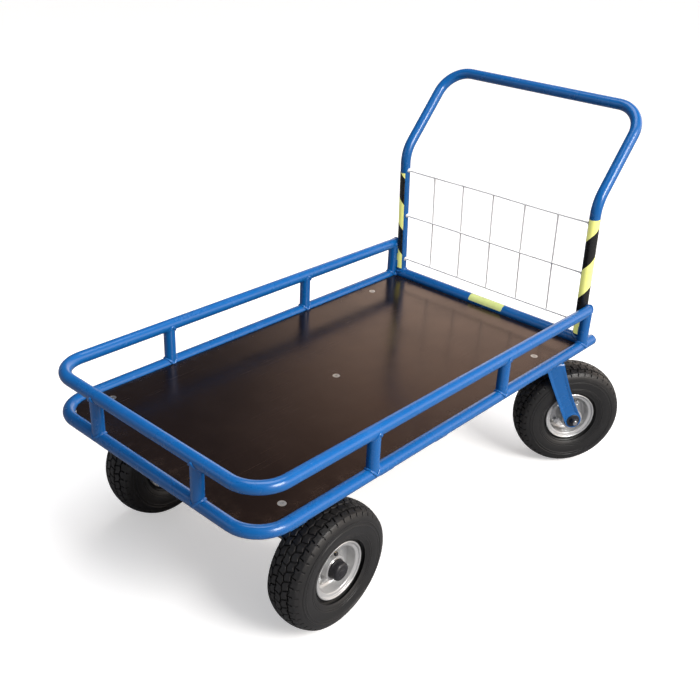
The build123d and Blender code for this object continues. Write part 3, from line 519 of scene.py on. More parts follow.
class Graph:
    """Short way to write a node tree, which it first empties."""

    def __init__(self, tree):
        self.tree = tree
        tree.nodes.clear()

    def put(self, socket, value):
        """Links a Value, or sets a number, vector or RGB colour."""
        if isinstance(value, Value):
            self.tree.links.new(value.socket, socket)
        elif socket.type == "RGBA":
            socket.default_value = (*value, 1)
        else:
            socket.default_value = value

    def node(self, kind, settings=None, **inputs):
        node = self.tree.nodes.new("ShaderNode" + kind)
        for key, setting in (settings or {}).items():
            setattr(node, key, setting)
        for key, value in inputs.items():
            self.put(node.inputs[key.replace("_", " ")], value)
        return node

    def value(self, kind, output, settings=None, **inputs):
        return Value(self, self.node(kind, settings, **inputs).outputs[output])

    def math(self, operation, *operands):
        node = self.node("Math", {"operation": operation})
        for socket, operand in zip(node.inputs, operands):
            self.put(socket, operand)
        return Value(self, node.outputs[0])

    def length(self, first, second):
        return self.math("SQRT", first * first + second * second)

    def mix(self, amount, under, over):
        """Blends two colours; an amount of 1 gives over."""
        node = self.node("Mix", {"data_type": "RGBA"})
        for index, value in ((0, amount), (6, under), (7, over)):
            self.put(node.inputs[index], value)
        return Value(self, node.outputs[2])

    def split(self, vector):
        node = self.node("SeparateXYZ", Vector=vector)
        return [Value(self, output) for output in node.outputs]


class Shader(Graph):
    """A Principled material. Textures read object coordinates unless told where."""

    def __init__(self, name):
        self.material = bpy.data.materials.get(name) or bpy.data.materials.new(name)
        self.material.use_nodes = True
        super().__init__(self.material.node_tree)
        output = self.node("OutputMaterial")
        self.surface = self.node("BsdfPrincipled")
        self.tree.links.new(self.surface.outputs[0], output.inputs[0])
        self.normal = None

    @cached_property
    def coords(self):
        return self.value("TexCoord", "Object")

    def set(self, **inputs):
        for key, value in inputs.items():
            self.put(self.surface.inputs[key.replace("_", " ")], value)

    def attribute(self, name):
        return self.value("Attribute", "Vector", {"attribute_name": name})

    def stretched(self, scale, rotation=(0, 0, 0), location=(0, 0, 0)):
        return self.value("Mapping", 0, Vector=self.coords, Scale=scale, Rotation=rotation,
                          Location=location)

    def noise(self, scale=1.0, detail=2.0, rough=0.5, at=None):
        return self.value("TexNoise", "Fac", Vector=self.coords if at is None else at,
                          Scale=scale, Detail=detail, Roughness=rough)

    def voronoi(self, scale):
        return self.value("TexVoronoi", "Distance", Vector=self.coords, Scale=scale)

    def join(self, x, y):
        return self.value("CombineXYZ", 0, X=x, Y=y, Z=0.0)

    def convex(self, span):
        """1 on sharply convex edges."""
        return self.value("NewGeometry", "Pointiness").ramp(span)

    def facing_up(self):
        return self.split(self.value("NewGeometry", "Normal"))[2]

    def bump(self, height, strength, distance):
        """Adds a bump on top of the earlier ones; distance is in metres."""
        below = {} if self.normal is None else {"Normal": self.normal}
        self.normal = self.value("Bump", 0, Strength=strength, Distance=distance,
                                 Height=height, **below)
        self.set(Normal=self.normal)


def shade(colour, factor, lift=0.0):
    return tuple(min(1, channel * factor + lift) for channel in colour)


# ------------------------------------------------------------------- materials
def powder_coat(name, base):
    """Stoved powder coat: fine orange peel, slight tone drift, a few rubbed spots."""
    s = Shader(name)
    colour = s.mix(s.noise(scale=5, detail=3), shade(base, 0.90), shade(base, 1.09))
    # rubbed, duller places
    rub = s.noise(scale=11, detail=5, rough=0.60).ramp(span=(0.52, 0.78))
    colour = s.mix(rub * 0.10, colour, shade(base, 1.25, lift=0.006))
    # pin-point chips, sparse
    spots = s.voronoi(scale=140).ramp(span=(0.085, 0.060))
    chip = spots * s.noise(scale=9).ramp(span=(0.66, 0.74))
    colour = s.mix(chip * 0.35, colour, (0.06, 0.10, 0.18))
    # paint thins on sharp edges
    edge = s.convex(span=(0.56, 0.66)) * s.noise(scale=120, detail=3).ramp(span=(0.42, 0.62))
    colour = s.mix(edge * 0.22, colour, shade(base, 1.5, lift=0.012))
    # film of dust on faces turned up
    dust = (s.noise(scale=30, detail=6, rough=0.7).ramp(span=(0.50, 0.80))
            * s.facing_up().ramp(span=(0.3, 0.95), to=(0.0, 0.045)))
    colour = s.mix(dust, colour, (0.40, 0.39, 0.37))
    rough = s.noise(scale=26, detail=4).ramp(span=(0.25, 0.8), to=(0.22, 0.30)) + chip * 0.12
    s.set(Base_Color=colour, Roughness=rough + rub * 0.07, Metallic=0.0, IOR=1.5,
          Specular_IOR_Level=0.5, Coat_Weight=0.20, Coat_Roughness=0.12)
    s.bump(s.noise(scale=620), strength=0.05, distance=0.0003)
    s.bump(s.noise(scale=170), strength=0.025, distance=0.0005)
    return s.material


def metal(name, base, rough, tint=None, metallic=1.0, stain=0.2):
    """Plated or bare metal with fine grain, stains, and a painted highlight on its convex edges."""
    s = Shader(name)
    grain = s.noise(scale=420, detail=3, rough=0.6)
    cloud = s.noise(scale=38, detail=4, rough=0.6)
    colour = s.mix(cloud, shade(base, 0.82), shade(base, 1.1))
    if tint:
        colour = s.mix(s.noise(scale=55, detail=3).ramp(span=(0.45, 0.7)) * 0.55, colour, tint)
    dark = s.noise(scale=75, detail=6, rough=0.7).ramp(span=(0.55, 0.8)) * stain
    colour = s.mix(dark, colour, shade(base, 0.35))
    # painted highlight: every sharply convex edge is lightened
    colour = s.mix(s.convex(span=(0.55, 0.62)) * 0.35, colour, shade(base, 1.3))
    s.set(Base_Color=colour, Roughness=grain.ramp(span=(0.2, 0.8), to=rough) + dark * 0.5,
          Metallic=metallic)
    s.bump(grain, strength=0.12, distance=0.0002)
    s.bump(s.noise(scale=1900), strength=0.06, distance=0.0001)
    return s.material


# scratches on the deck: (direction in radians, fineness, noise threshold)
DECK_SCRATCHES = ((0.31, 950, 0.735), (1.05, 760, 0.745), (-0.62, 1100, 0.74), (1.48, 880, 0.73))
# metres: centre of the swirl marks, and of the deck's length
SWIRL_X, SWIRL_Y = -0.012, -0.088
DECK_MIDDLE_Y = -0.073


def deck_film():
    """Dark film on plywood: glossy, slightly wavy, hazed by fine scratches."""
    s = Shader("deck_board")
    x, y, _ = s.split(s.coords)
    fibre = s.noise(detail=5, rough=0.6, at=s.stretched(scale=(260, 26, 1)))
    cloud = s.noise(scale=3.2, detail=4, rough=0.55)
    fleck = s.noise(scale=520, detail=3, rough=0.65)
    colour = s.mix(cloud, (0.0038, 0.0026, 0.0026), (0.0074, 0.0045, 0.0040))
    colour = s.mix(fibre.ramp(span=(0.40, 0.72)) * 0.30, colour, (0.0110, 0.0068, 0.0056))
    colour = s.mix(fleck.ramp(span=(0.50, 0.72)) * 0.22, colour, (0.003, 0.002, 0.002))
    # hairline scratches in several directions, thin where the noise is stretched
    scratch = None
    for k, (turn, fineness, threshold) in enumerate(DECK_SCRATCHES):
        lines = s.noise(detail=1, at=s.stretched(
            scale=(fineness, 5.5, 1), rotation=(0, 0, turn), location=(k * 3.1, k * 1.7, 0)))
        lines = lines.ramp(span=(threshold, threshold + 0.05))
        scratch = lines if scratch is None else s.math("MAXIMUM", scratch, lines)
    scratch = scratch * s.noise(scale=5.5, detail=3).ramp(span=(0.40, 0.66))
    colour = s.mix(scratch * 0.09, colour, (0.085, 0.062, 0.050))
    # faint swirl marks round the middle screw
    swirl_x, swirl_y = x - SWIRL_X, y - SWIRL_Y
    radius = s.length(swirl_x, swirl_y)
    swirl = s.noise(at=s.join(radius * 260.0, swirl_x * 14.0))
    swirl = swirl.ramp(span=(0.52, 0.66)) * radius.ramp(span=(0.055, 0.012))
    swirl = swirl * s.noise(scale=34, detail=3).ramp(span=(0.44, 0.62))
    colour = s.mix(swirl * 0.10, colour, (0.12, 0.095, 0.082))
    # dust gathers along the sides and the ends
    by_side = s.math("ABSOLUTE", x).ramp(span=(0.235, 0.277))
    by_end = s.math("ABSOLUTE", y + -DECK_MIDDLE_Y).ramp(span=(0.455, 0.505))
    dust = (s.math("MAXIMUM", by_side, by_end)
            * s.noise(scale=42, detail=6, rough=0.7).ramp(span=(0.38, 0.75)))
    colour = s.mix(dust * 0.028, colour, (0.18, 0.15, 0.125))
    rough = s.noise(scale=9, detail=5, rough=0.6).ramp(span=(0.25, 0.8), to=(0.17, 0.26))
    # the brown resin colours what the board mirrors
    s.set(Base_Color=colour, Roughness=rough + scratch * 0.12 + swirl * 0.10 + dust * 0.14,
          IOR=1.53, Specular_Tint=(1.0, 0.44, 0.22))
    s.bump(s.noise(at=s.stretched(scale=(46, 9, 1))), strength=0.10, distance=0.0012)
    s.bump(s.noise(scale=16), strength=0.06, distance=0.002)
    s.bump(fleck, strength=0.05, distance=0.0002)
    s.bump(scratch * -1.0, strength=0.10, distance=0.0002)
    return s.material


def ply_edge():
    """Sealed plywood edge: veneers show through a thin brown paint."""
    veneers = 9
    s = Shader("deck_board_edge")
    _, _, z = s.split(s.coords)
    depth = (z - DECK_BOTTOM / 1000) * (veneers / ((DECK_TOP - DECK_BOTTOM) / 1000))
    depth = depth + s.noise(scale=35, detail=3) * 0.22
    layer = s.math("PINGPONG", depth, 1.0)
    light_layer = layer.ramp(span=(0.40, 0.60))
    long_grain = s.noise(detail=6, rough=0.65, at=s.stretched(scale=(60, 60, 1400)))
    end_grain = s.noise(scale=900, detail=3, rough=0.6)
    light = s.mix(long_grain, (0.085, 0.050, 0.030), (0.17, 0.105, 0.062))
    dark = s.mix(end_grain, (0.030, 0.018, 0.012), (0.075, 0.043, 0.027))
    colour = s.mix(light_layer, dark, light)
    paint = s.noise(scale=28, detail=4).ramp(span=(0.30, 0.62))
    colour = s.mix(paint * 0.75, colour, (0.032, 0.020, 0.015))
    glue = s.math("ABSOLUTE", layer - 0.5).ramp(span=(0.06, 0.0))
    colour = s.mix(glue * 0.7, colour, (0.015, 0.009, 0.007))
    s.set(Base_Color=colour, Roughness=long_grain.ramp(span=(0.2, 0.8), to=(0.48, 0.75)))
    s.bump(light_layer, strength=0.25, distance=0.0004)
    s.bump(long_grain, strength=0.3, distance=0.0003)
    return s.material


def tyre_rubber():
    """Black tyre rubber: painted sheen in soft rings on the wall, scuffed and dusty tread."""
    s = Shader("tyre_rubber")
    local = s.attribute("wl")
    along, up, side = s.split(local)
    radius = s.length(up, side)
    tread = radius.ramp(span=(0.1135, 0.1225))
    cloud = s.noise(scale=24, detail=5, rough=0.6, at=local)
    grain = s.noise(scale=1300, detail=3, rough=0.6, at=local)
    colour = s.mix(cloud, (0.0062, 0.0062, 0.0066), (0.0125, 0.0122, 0.0125))
    scuff = tread * s.noise(scale=210, detail=5, rough=0.7, at=local).ramp(span=(0.42, 0.72))
    colour = s.mix(scuff * 0.30, colour, (0.042, 0.038, 0.039))
    # painted sheen: lighter soft rings on the wall
    soft_rings = s.noise(detail=3, rough=0.6, at=s.join(radius * 210.0, along * 30.0))
    painted_sheen = soft_rings.ramp(span=(0.45, 0.72)) * cloud.ramp(span=(0.4, 0.65))
    colour = s.mix(painted_sheen * 0.16, colour, (0.036, 0.032, 0.032))
    dust = (s.noise(scale=60, detail=6, rough=0.72, at=local).ramp(span=(0.52, 0.80))
            * radius.ramp(span=(0.080, 0.118), to=(0.25, 0.8)))
    colour = s.mix(dust * 0.14, colour, (0.080, 0.066, 0.058))
    rough = grain.ramp(span=(0.2, 0.8), to=(0.36, 0.50)) + s.math("MAXIMUM", scuff, dust) * 0.20
    s.set(Base_Color=colour, Roughness=rough, IOR=1.50)
    s.bump(grain, strength=0.16, distance=0.0003)
    s.bump(s.noise(scale=260, detail=4, rough=0.6, at=local), strength=0.10, distance=0.0006)
    return s.material


def soft_rubber():
    """Dark grey rubber with a little talc."""
    s = Shader("tube_rubber")
    cloud = s.noise(scale=40, detail=4)
    grain = s.noise(scale=900, detail=3)
    colour = s.mix(cloud, (0.016, 0.016, 0.017), (0.040, 0.039, 0.039))
    talc = s.noise(scale=70, detail=6, rough=0.7).ramp(span=(0.5, 0.8))
    colour = s.mix(talc * 0.2, colour, (0.16, 0.155, 0.15))
    s.set(Base_Color=colour, Roughness=grain.ramp(span=(0.2, 0.8), to=(0.42, 0.62)))
    s.bump(grain, strength=0.15, distance=0.0003)
    return s.material


def rim_lacquer():
    """Silver lacquer on pressed steel, with fine turning marks."""
    s = Shader("rim_steel")
    local = s.attribute("wl")
    along, up, side = s.split(local)
    radius = s.length(up, side)
    marks = s.noise(detail=4, rough=0.6, at=s.join(radius * 1500.0, along * 900.0))
    flake = s.noise(scale=3600, detail=1, at=local)
    cloud = s.noise(scale=30, detail=4, at=local)
    colour = s.mix(cloud, (0.50, 0.505, 0.51), (0.66, 0.665, 0.67))
    colour = s.mix(flake.ramp(span=(0.5, 0.75)) * 0.30, colour, (0.82, 0.82, 0.83))
    grime = (s.noise(scale=85, detail=6, rough=0.72, at=local).ramp(span=(0.50, 0.78))
             * radius.ramp(span=(0.030, 0.056), to=(0.75, 0.25)))
    colour = s.mix(grime * 0.45, colour, (0.13, 0.12, 0.11))
    # painted highlight: convex edges, such as the rolled lip, are lightened
    colour = s.mix(s.convex(span=(0.54, 0.60)) * 0.4, colour, (0.80, 0.80, 0.80))
    s.set(Base_Color=colour, Metallic=0.62, Coat_Weight=0.25, Coat_Roughness=0.2,
          Roughness=marks.ramp(span=(0.2, 0.8), to=(0.30, 0.44)) + grime * 0.3)
    s.bump(marks, strength=0.10, distance=0.00025)
    s.bump(s.noise(scale=700, at=local), strength=0.06, distance=0.0003)
    return s.material


def plastic(name, base):
    """Moulded plastic with a fine grain and scuffed edges."""
    s = Shader(name)
    grain = s.voronoi(scale=1500)
    colour = s.mix(s.noise(scale=45, detail=4), base, shade(base, 1.9, lift=0.004))
    scuff = s.convex(span=(0.54, 0.60)) * s.noise(scale=260, detail=4).ramp(span=(0.40, 0.65))
    colour = s.mix(scuff * 0.35, colour, (0.055, 0.055, 0.060))
    rough = s.noise(scale=130, detail=4).ramp(span=(0.25, 0.75), to=(0.36, 0.54))
    s.set(Base_Color=colour, Roughness=rough)
    s.bump(grain, strength=0.10, distance=0.0003)
    s.bump(s.noise(scale=380), strength=0.05, distance=0.0003)
    return s.material


def hazard_film():
    """Yellow and black diagonal stripes on vinyl.

    The attribute tp holds, in metres, the place round the tube, the place along it
    and the distance from the nearest cut edge.
    """
    slope = 1.20           # rise of a stripe per length round the tube
    stripe_pitch = 0.1395  # metres along the tube
    wobble = 0.0012        # metres
    s = Shader("hazard_tape")
    arc, along, edge = s.split(s.attribute("tp"))
    place = along + arc * slope
    place = place + (s.noise(scale=240) - 0.5) * wobble
    phase = s.math("FRACT", s.math("DIVIDE", place, stripe_pitch))
    stripe = s.math("ABSOLUTE", phase - 0.5).ramp(span=(0.2480, 0.2525))
    cloud = s.noise(scale=30, detail=4)
    yellow = s.mix(cloud, (0.90, 0.88, 0.22), (0.97, 0.96, 0.34))
    black = s.mix(cloud, (0.007, 0.007, 0.007), (0.015, 0.0145, 0.014))
    colour = s.mix(stripe, yellow, black)
    # grime rubbed into the cut edges and a few scuffs
    dirt = (edge.ramp(span=(0.0035, 0.0))
            * s.noise(scale=160, detail=5).ramp(span=(0.35, 0.65)))
    scuffs = s.noise(scale=48, detail=7, rough=0.74).ramp(span=(0.62, 0.80), to=(0.0, 0.6))
    dirt = s.math("MAXIMUM", dirt, scuffs)
    colour = s.mix(dirt * 0.45, colour, (0.16, 0.14, 0.10))
    rough = s.noise(scale=90, detail=4).ramp(span=(0.25, 0.75), to=(0.22, 0.36)) + dirt * 0.3
    # painted light: the yellow stripes glow a little, so they look bright under any light
    s.set(Base_Color=colour, Roughness=rough, Emission_Strength=0.29,
          Emission_Color=s.mix(stripe, (0.90, 0.93, 0.28), (0.0, 0.0, 0.0)))
    s.bump(s.noise(detail=3, at=s.stretched(scale=(70, 70, 420))), strength=0.10, distance=0.0004)
    s.bump(s.noise(scale=1400), strength=0.06, distance=0.0001)
    return s.material


def label_film():
    """Yellow-green film, lightly smeared along X."""
    s = Shader("label_film")
    colour = s.mix(s.noise(scale=60, detail=4), (0.70, 0.79, 0.25), (0.80, 0.88, 0.37))
    fine = s.noise(scale=700, detail=3)
    colour = s.mix(fine.ramp(span=(0.5, 0.75)) * 0.12, colour, (0.60, 0.60, 0.14))
    smear = s.noise(detail=4, rough=0.6, at=s.stretched(scale=(22, 160, 160)))
    colour = s.mix(smear.ramp(span=(0.54, 0.78)) * 0.20, colour, (0.42, 0.40, 0.24))
    s.set(Base_Color=colour, Roughness=fine.ramp(span=(0.2, 0.8), to=(0.26, 0.40)))
    s.bump(fine, strength=0.05, distance=0.0002)
    s.bump(s.noise(scale=110), strength=0.06, distance=0.0005)
    return s.material


PAINT = powder_coat("frame_paint", base=(0.003, 0.111, 0.37))
DECK_FILM = deck_film()
PLY_EDGE = ply_edge()
ZINC = metal("zinc_steel", base=(0.62, 0.63, 0.64), rough=(0.26, 0.42),
             tint=(0.66, 0.64, 0.55), stain=0.25)
WIRE = metal("zinc_wire", base=(0.92, 0.92, 0.92), rough=(0.36, 0.50),
             tint=(0.90, 0.89, 0.86), stain=0.08, metallic=0.05)
AXLE = metal("axle_steel", base=(0.46, 0.46, 0.47), rough=(0.24, 0.40), stain=0.35)
BEARING = metal("bearing_steel", base=(0.55, 0.55, 0.56), rough=(0.16, 0.30), stain=0.15)
DARK = metal("dark_steel", base=(0.055, 0.060, 0.070), rough=(0.34, 0.50),
             metallic=0.75, stain=0.3)
PLASTIC = plastic("black_plastic", base=(0.0065, 0.0065, 0.0085))
TYRE = tyre_rubber()
TUBE_RUBBER = soft_rubber()
RIM = rim_lacquer()
TAPE = hazard_film()
LABEL = label_film()
BRASS = metal("valve_brass", base=(0.72, 0.55, 0.28), rough=(0.25, 0.40), stain=0.3)
SLOT_MATERIALS = {material.name: material for material in (
    PAINT, DECK_FILM, ZINC, AXLE, PLASTIC, TAPE, LABEL, TYRE, TUBE_RUBBER, RIM, BEARING, DARK)}


def dress_cad_nodes():
    """Gives the slots of the CAD nodes the materials above."""
    for ob in NODES.values():
        for slot in ob.material_slots:
            key = (slot.material.name if slot.material else "").split(".")[0]
            if key in SLOT_MATERIALS:
                slot.material = SLOT_MATERIALS[key]


# ----------------------------------------------------------------------- frame
def side_loop(rear_y, z):
    """Path down the left side, across the front and back up the right side."""
    corners = [(-HALF_X, rear_y, z), (-HALF_X, FRONT_Y, z),
               (HALF_X, FRONT_Y, z), (HALF_X, rear_y, z)]
    return bent_path(corners, [CORNER_R, CORNER_R])


def lower_frame():
    m = Mesh()
    tube(m, side_loop(FRAME_END_Y, FRAME_Z), Z)
    add_object("deck_frame_tube_skin", m, "frame_paint", ["deck_frame_tube"])


def upper_rail():
    """Mitred at its rear ends."""
    m = Mesh()
    tube(m, side_loop(REAR_POST_Y, RAIL_Z), Z, start=rear_mitre, end=rear_mitre)
    add_object("upper_rail_skin", m, "frame_paint", ["upper_rail_tube"])


def post(m, x, y, below_rail, frame_axis, end):
    """A post coped on the lower frame; its end rule carries it on to the rail."""
    path = straight_path([(x, y, z) for z in (FRAME_Z + 30.0, FRAME_Z + 44, RAIL_Z - below_rail)], Z)
    return tube(m, path, X, start=cope((x, y, FRAME_Z), frame_axis, TUBE_R), end=end)


def rail_posts():
    """Side and front posts, coped on the frame and under the rail, with their welds."""
    places = [(side * HALF_X, y, Y) for side in (-1, 1) for y in SIDE_POST_Y]
    places += [(side * FRONT_POST_X, FRONT_Y, X) for side in (-1, 1)]
    m = Mesh()
    for i, (x, y, axis) in enumerate(places):
        outer = post(m, x, y, 30.0, axis, end=cope((x, y, RAIL_Z), axis, TUBE_R))
        for seam, z in ((outer[0], FRAME_Z), (outer[-1], RAIL_Z)):
            seam_weld(m, seam, cylinder_normal(seam, (x, y, 0), Z),
                      cylinder_normal(seam, (x, y, z), axis), radius=2.5, seed=i * 1.7 + z)
    add_object("rail_posts_welded", m, "frame_paint", ["rail_posts"])


def rear_posts():
    """Rear corner posts, mitred at the top and stitched to the handle's uprights."""
    m = Mesh()
    y = REAR_POST_Y
    for side in (-1, 1):
        x = side * HALF_X
        outer = post(m, x, y, 20.0, Y, end=rear_mitre)
        for seam, centre, radius, seed, lift in (
                (outer[0], (x, y, FRAME_Z), 2.5, side, 0.3),
                (outer[-1], (x, 0, RAIL_Z), 2.0, side * 2, -0.25)):
            seam_weld(m, seam, cylinder_normal(seam, (x, y, 0), Z),
                      cylinder_normal(seam, centre, Y), radius, seed, lift)
        for stitch in ((RAIL_Z - 26, RAIL_Z - 8), (FRAME_Z + 24, FRAME_Z + 44)):
            ends = []
            for z in stitch:
                on_post = np.array([x, y, z])
                to_upright = unit(np.array([side * UPRIGHT_X, upright_y(z), z]) - on_post)
                outward = unit(np.cross(to_upright, Z)) * -side
                ends.append(on_post + to_upright * 12.0 + outward * 5.2)
            stitch_weld(m, *ends, outward, radius=2.7, seed=stitch[0])
    add_object("rear_rail_posts_welded", m, "frame_paint", ["rear_rail_posts"])


def cross_tube():
    """The rear cross tube, coped to the side tubes."""
    def cross_end(points, heading):
        side = np.sign(heading[0])
        reach, missed = hit_cylinder(points, heading, (side * HALF_X, 0, FRAME_Z), Y, TUBE_R)
        limit = (side * (HALF_X - 5.0) - points[:, 0]) * side
        return np.where(missed, limit, np.minimum(reach, limit))

    m = Mesh()
    stations = (-230.0, -150, -75, 0, 75, 150, 230.0)
    path = straight_path([(x, CROSS_Y, CROSS_Z) for x in stations], X)
    outer = tube(m, path, Z, CROSS_R, CROSS_WALL, seg=72, start=cross_end, end=cross_end)
    for seam, side in ((outer[0], -1), (outer[-1], 1)):
        seam_weld(m, seam, cylinder_normal(seam, CROSS_CENTRE, X),
                  np.repeat([[-side * 0.4, 0, 0.3]], len(seam), 0),
                  radius=2.9, seed=side * 3, lift=0.1)
    add_object("rear_cross_tube_welded", m, "frame_paint", ["rear_cross_tube"])


def handle():
    """One bent tube, coped on the cross tube at both feet."""
    foot_z = CROSS_Z + 34
    half = [(UPRIGHT_X, upright_y(foot_z), foot_z), (UPRIGHT_X, BEND_Y, BEND_Z),
            (UPRIGHT_X, GRIP_Y, GRIP_Z)]
    corners = [(-x, y, z) for x, y, z in half] + half[::-1]
    m = Mesh()
    on_cross = cope(CROSS_CENTRE, X, CROSS_R)
    path = bent_path(corners, [BEND_R, CORNER_R, CORNER_R, BEND_R], degrees=2.0)
    outer = tube(m, path, X, start=on_cross, end=on_cross)
    for seam, side in ((outer[0], -1), (outer[-1], 1)):
        foot = (side * UPRIGHT_X, CROSS_Y, CROSS_Z)
        seam_weld(m, seam, cylinder_normal(seam, foot, UPRIGHT_AXIS),
                  cylinder_normal(seam, CROSS_CENTRE, X), radius=2.6, seed=side * 5)
    add_object("handle_tube_skin", m, "frame_paint", ["handle_tube"])


def tube_plugs():
    """Plugs in the rear ends of the side tubes: a ribbed shank and a domed head."""
    head = box("tube_end_caps")[1][1] - FRAME_END_Y
    profile = [(-14.0, 5.0), (-13.6, 8.6), (-12.0, 9.6), (-8.0, 10.3), (-6.0, 9.9), (-3.0, 10.4),
               (-0.05, 10.4), (0.02, 12.2), (0.5, 12.5), (head * 0.45, 12.4),
               (head * 0.72, 11.7), (head * 0.92, 10.2), (head * 0.99, 8.0), (head, 5.5),
               (head, 2.0)]
    m = Mesh()
    for side in (-1, 1):
        end = np.array([side * HALF_X, FRAME_END_Y, FRAME_Z])
        revolve_solid(m, profile, Spindle(end, Y, Z))
    add_object("tube_end_plugs", m, "black_plastic", ["tube_end_caps"])


# ------------------------------------------------------------------- wire mesh
# (along the wire from the tube's face, radius)
WIRE_FILLET = [(-1.5, 5.6), (0.6, 5.3), (1.7, 4.2), (2.9, 3.2), (4.4, 2.55), (5.6, 2.0)]
SPOT_WELD = [(-1.3, 1.0), (-1.1, 2.3), (-0.4, 3.0), (0.4, 3.0), (1.1, 2.3), (1.3, 1.0)]


def cross_wires():
    """Wires across, ending on the uprights in small fillets of weld."""
    m = Mesh()
    for z in WIRE_Z:
        y = upright_y(z)
        # drawn wire is never dead straight
        path = straight_path([(x, y + 0.35 * math.sin(x * 0.021 + z),
                               z + 0.5 * math.sin(x * 0.017 + 2 * z))
                              for x in np.linspace(-250, 250, 41)], X)
        skin = rings(path, Z, WIRE_R, WIRE_SEG)
        for end, side in ((0, -1), (-1, 1)):
            stop = cope((side * UPRIGHT_X, CROSS_Y, CROSS_Z), UPRIGHT_AXIS, TUBE_R - 0.4)
            skin[end] += stop(skin[end], side * X)[:, None] * side * X
        m.solid(skin.transpose(1, 0, 2))
        for side in (-1, 1):
            root = np.array([side * (UPRIGHT_X - TUBE_R + 0.5), y, z])
            revolve_solid(m, WIRE_FILLET, Spindle(root, -side * X, Z), 28)
    add_object("mesh_cross_wires", m, "zinc_steel", ["mesh_horizontal_wires"], [WIRE])


def upright_wires():
    """Wires up the rear side of the cross wires, spot-welded at each crossing."""
    m = Mesh()
    for k in range(-2, 3):
        def front_of_wire(z):
            return np.array([k * WIRE_PITCH + 0.5 * math.sin(z * 0.02 + k), upright_y(z), z])

        points = []
        for z in np.linspace(WIRE_Z[0] - 3.0, WIRE_Z[2] + 3.0, 33):
            # the wire sinks a little into the cross wires where it is welded
            sink = sum(math.exp(-((z - weld_z) / 5.0) ** 2) for weld_z in WIRE_Z)
            points.append(front_of_wire(z) + UPRIGHT_BACK * (2 * WIRE_R - 0.15 - 0.75 * sink))
        points = np.array(points)
        headings = unit(np.gradient(points, axis=0))
        skin = rings((points, headings), X, WIRE_R, WIRE_SEG)
        # sheared ends, slightly rounded
        bottom = points[0] - headings[0] * 0.5 + (skin[0] - points[0]) * 0.8
        top = points[-1] + headings[-1] * 0.5 + (skin[-1] - points[-1]) * 0.8
        m.solid(np.concatenate([[bottom], skin, [top]], 0).transpose(1, 0, 2))
        for z in WIRE_Z:
            centre = front_of_wire(z) + UPRIGHT_BACK * (WIRE_R - 0.2)
            revolve_solid(m, SPOT_WELD, Spindle(centre, UPRIGHT_BACK, UPRIGHT_AXIS), 20)
    add_object("mesh_upright_wires", m, "zinc_steel", ["mesh_vertical_wires"], [WIRE])


# ------------------------------------------------------------- tapes and label
TAPE_R = TUBE_R + 0.37
TAPE_T = 0.32
TAPE_BOTTOM = 347
TAPE_TURN = math.radians(-15.0)
TAPE_LENGTH_PER_HEIGHT = 1.00136
# (side, top, shift of the stripes along the tube)
TAPES = ((-1, 611.0, -104.2), (1, 629.5, -83.7))


def hazard_tapes():
    """Tape wrapped most of the way round each upright, open on the inner side."""
    m = Mesh()
    stripe_places = []
    angle = np.radians(np.concatenate([[-114, -113.2], np.linspace(-111, 111, 75), [113.2, 114]]))
    for side, top, stripe_shift in TAPES:
        z = np.concatenate([[TAPE_BOTTOM, TAPE_BOTTOM + 0.25],
                            np.linspace(TAPE_BOTTOM + 3, top - 3, 90), [top - 0.25, top]])[:, None]
        # hand-cut ends are a touch off square
        skew = np.zeros_like(z)
        skew[:3], skew[-3:] = -0.7, 0.9
        height = z + skew * np.sin(angle * 0.8 + side)
        from_side = np.minimum(abs(angle - angle[0]), abs(angle - angle[-1])) * TUBE_R
        from_end = np.minimum(abs(z - TAPE_BOTTOM), abs(top - z))
        # the edges lift and the film waves a little
        radius = (TAPE_R + 0.10 * np.exp(-from_side / 1.2) * (0.5 + 0.5 * np.sin(z * 0.09 + side))
                  + 0.06 * np.exp(-from_end / 1.5)
                  + 0.035 * np.sin(z * 0.21 + 3 * angle) * np.sin(z * 0.047 + side * 2))
        turn = (angle + TAPE_TURN)[:, None]
        outward = np.cos(turn) * X * side + np.sin(turn) * np.cross(UPRIGHT_AXIS, X)

        def centre(level):
            return np.stack([np.full(level.shape, side * UPRIGHT_X), upright_y(level), level], -1)

        outer = centre(height) + radius[..., None] * outward
        inner = outer - (outer - centre(outer[..., 2])) * (TAPE_T / TAPE_R)
        m.thin_sheet(outer, inner)
        along = (height - TAPE_BOTTOM) * TAPE_LENGTH_PER_HEIGHT + stripe_shift
        place = np.stack(np.broadcast_arrays(-angle * TUBE_R, along,
                                             np.minimum(from_side, from_end)), -1) * MM
        stripe_places.append(np.concatenate([place, place[::-1]], 0).reshape(-1, 3))
    add_object("hazard_tape_wraps", m, "hazard_tape", ["hazard_tapes"],
               vectors={"tp": np.concatenate(stripe_places)})


LABEL_T = 0.26
LABEL_CORNER_R = 3.5
LABEL_ARC_R = 15.2       # turns lengths round the tube into angles
LABEL_ANGLES = (84.0, 170.0)  # from +Y towards +Z


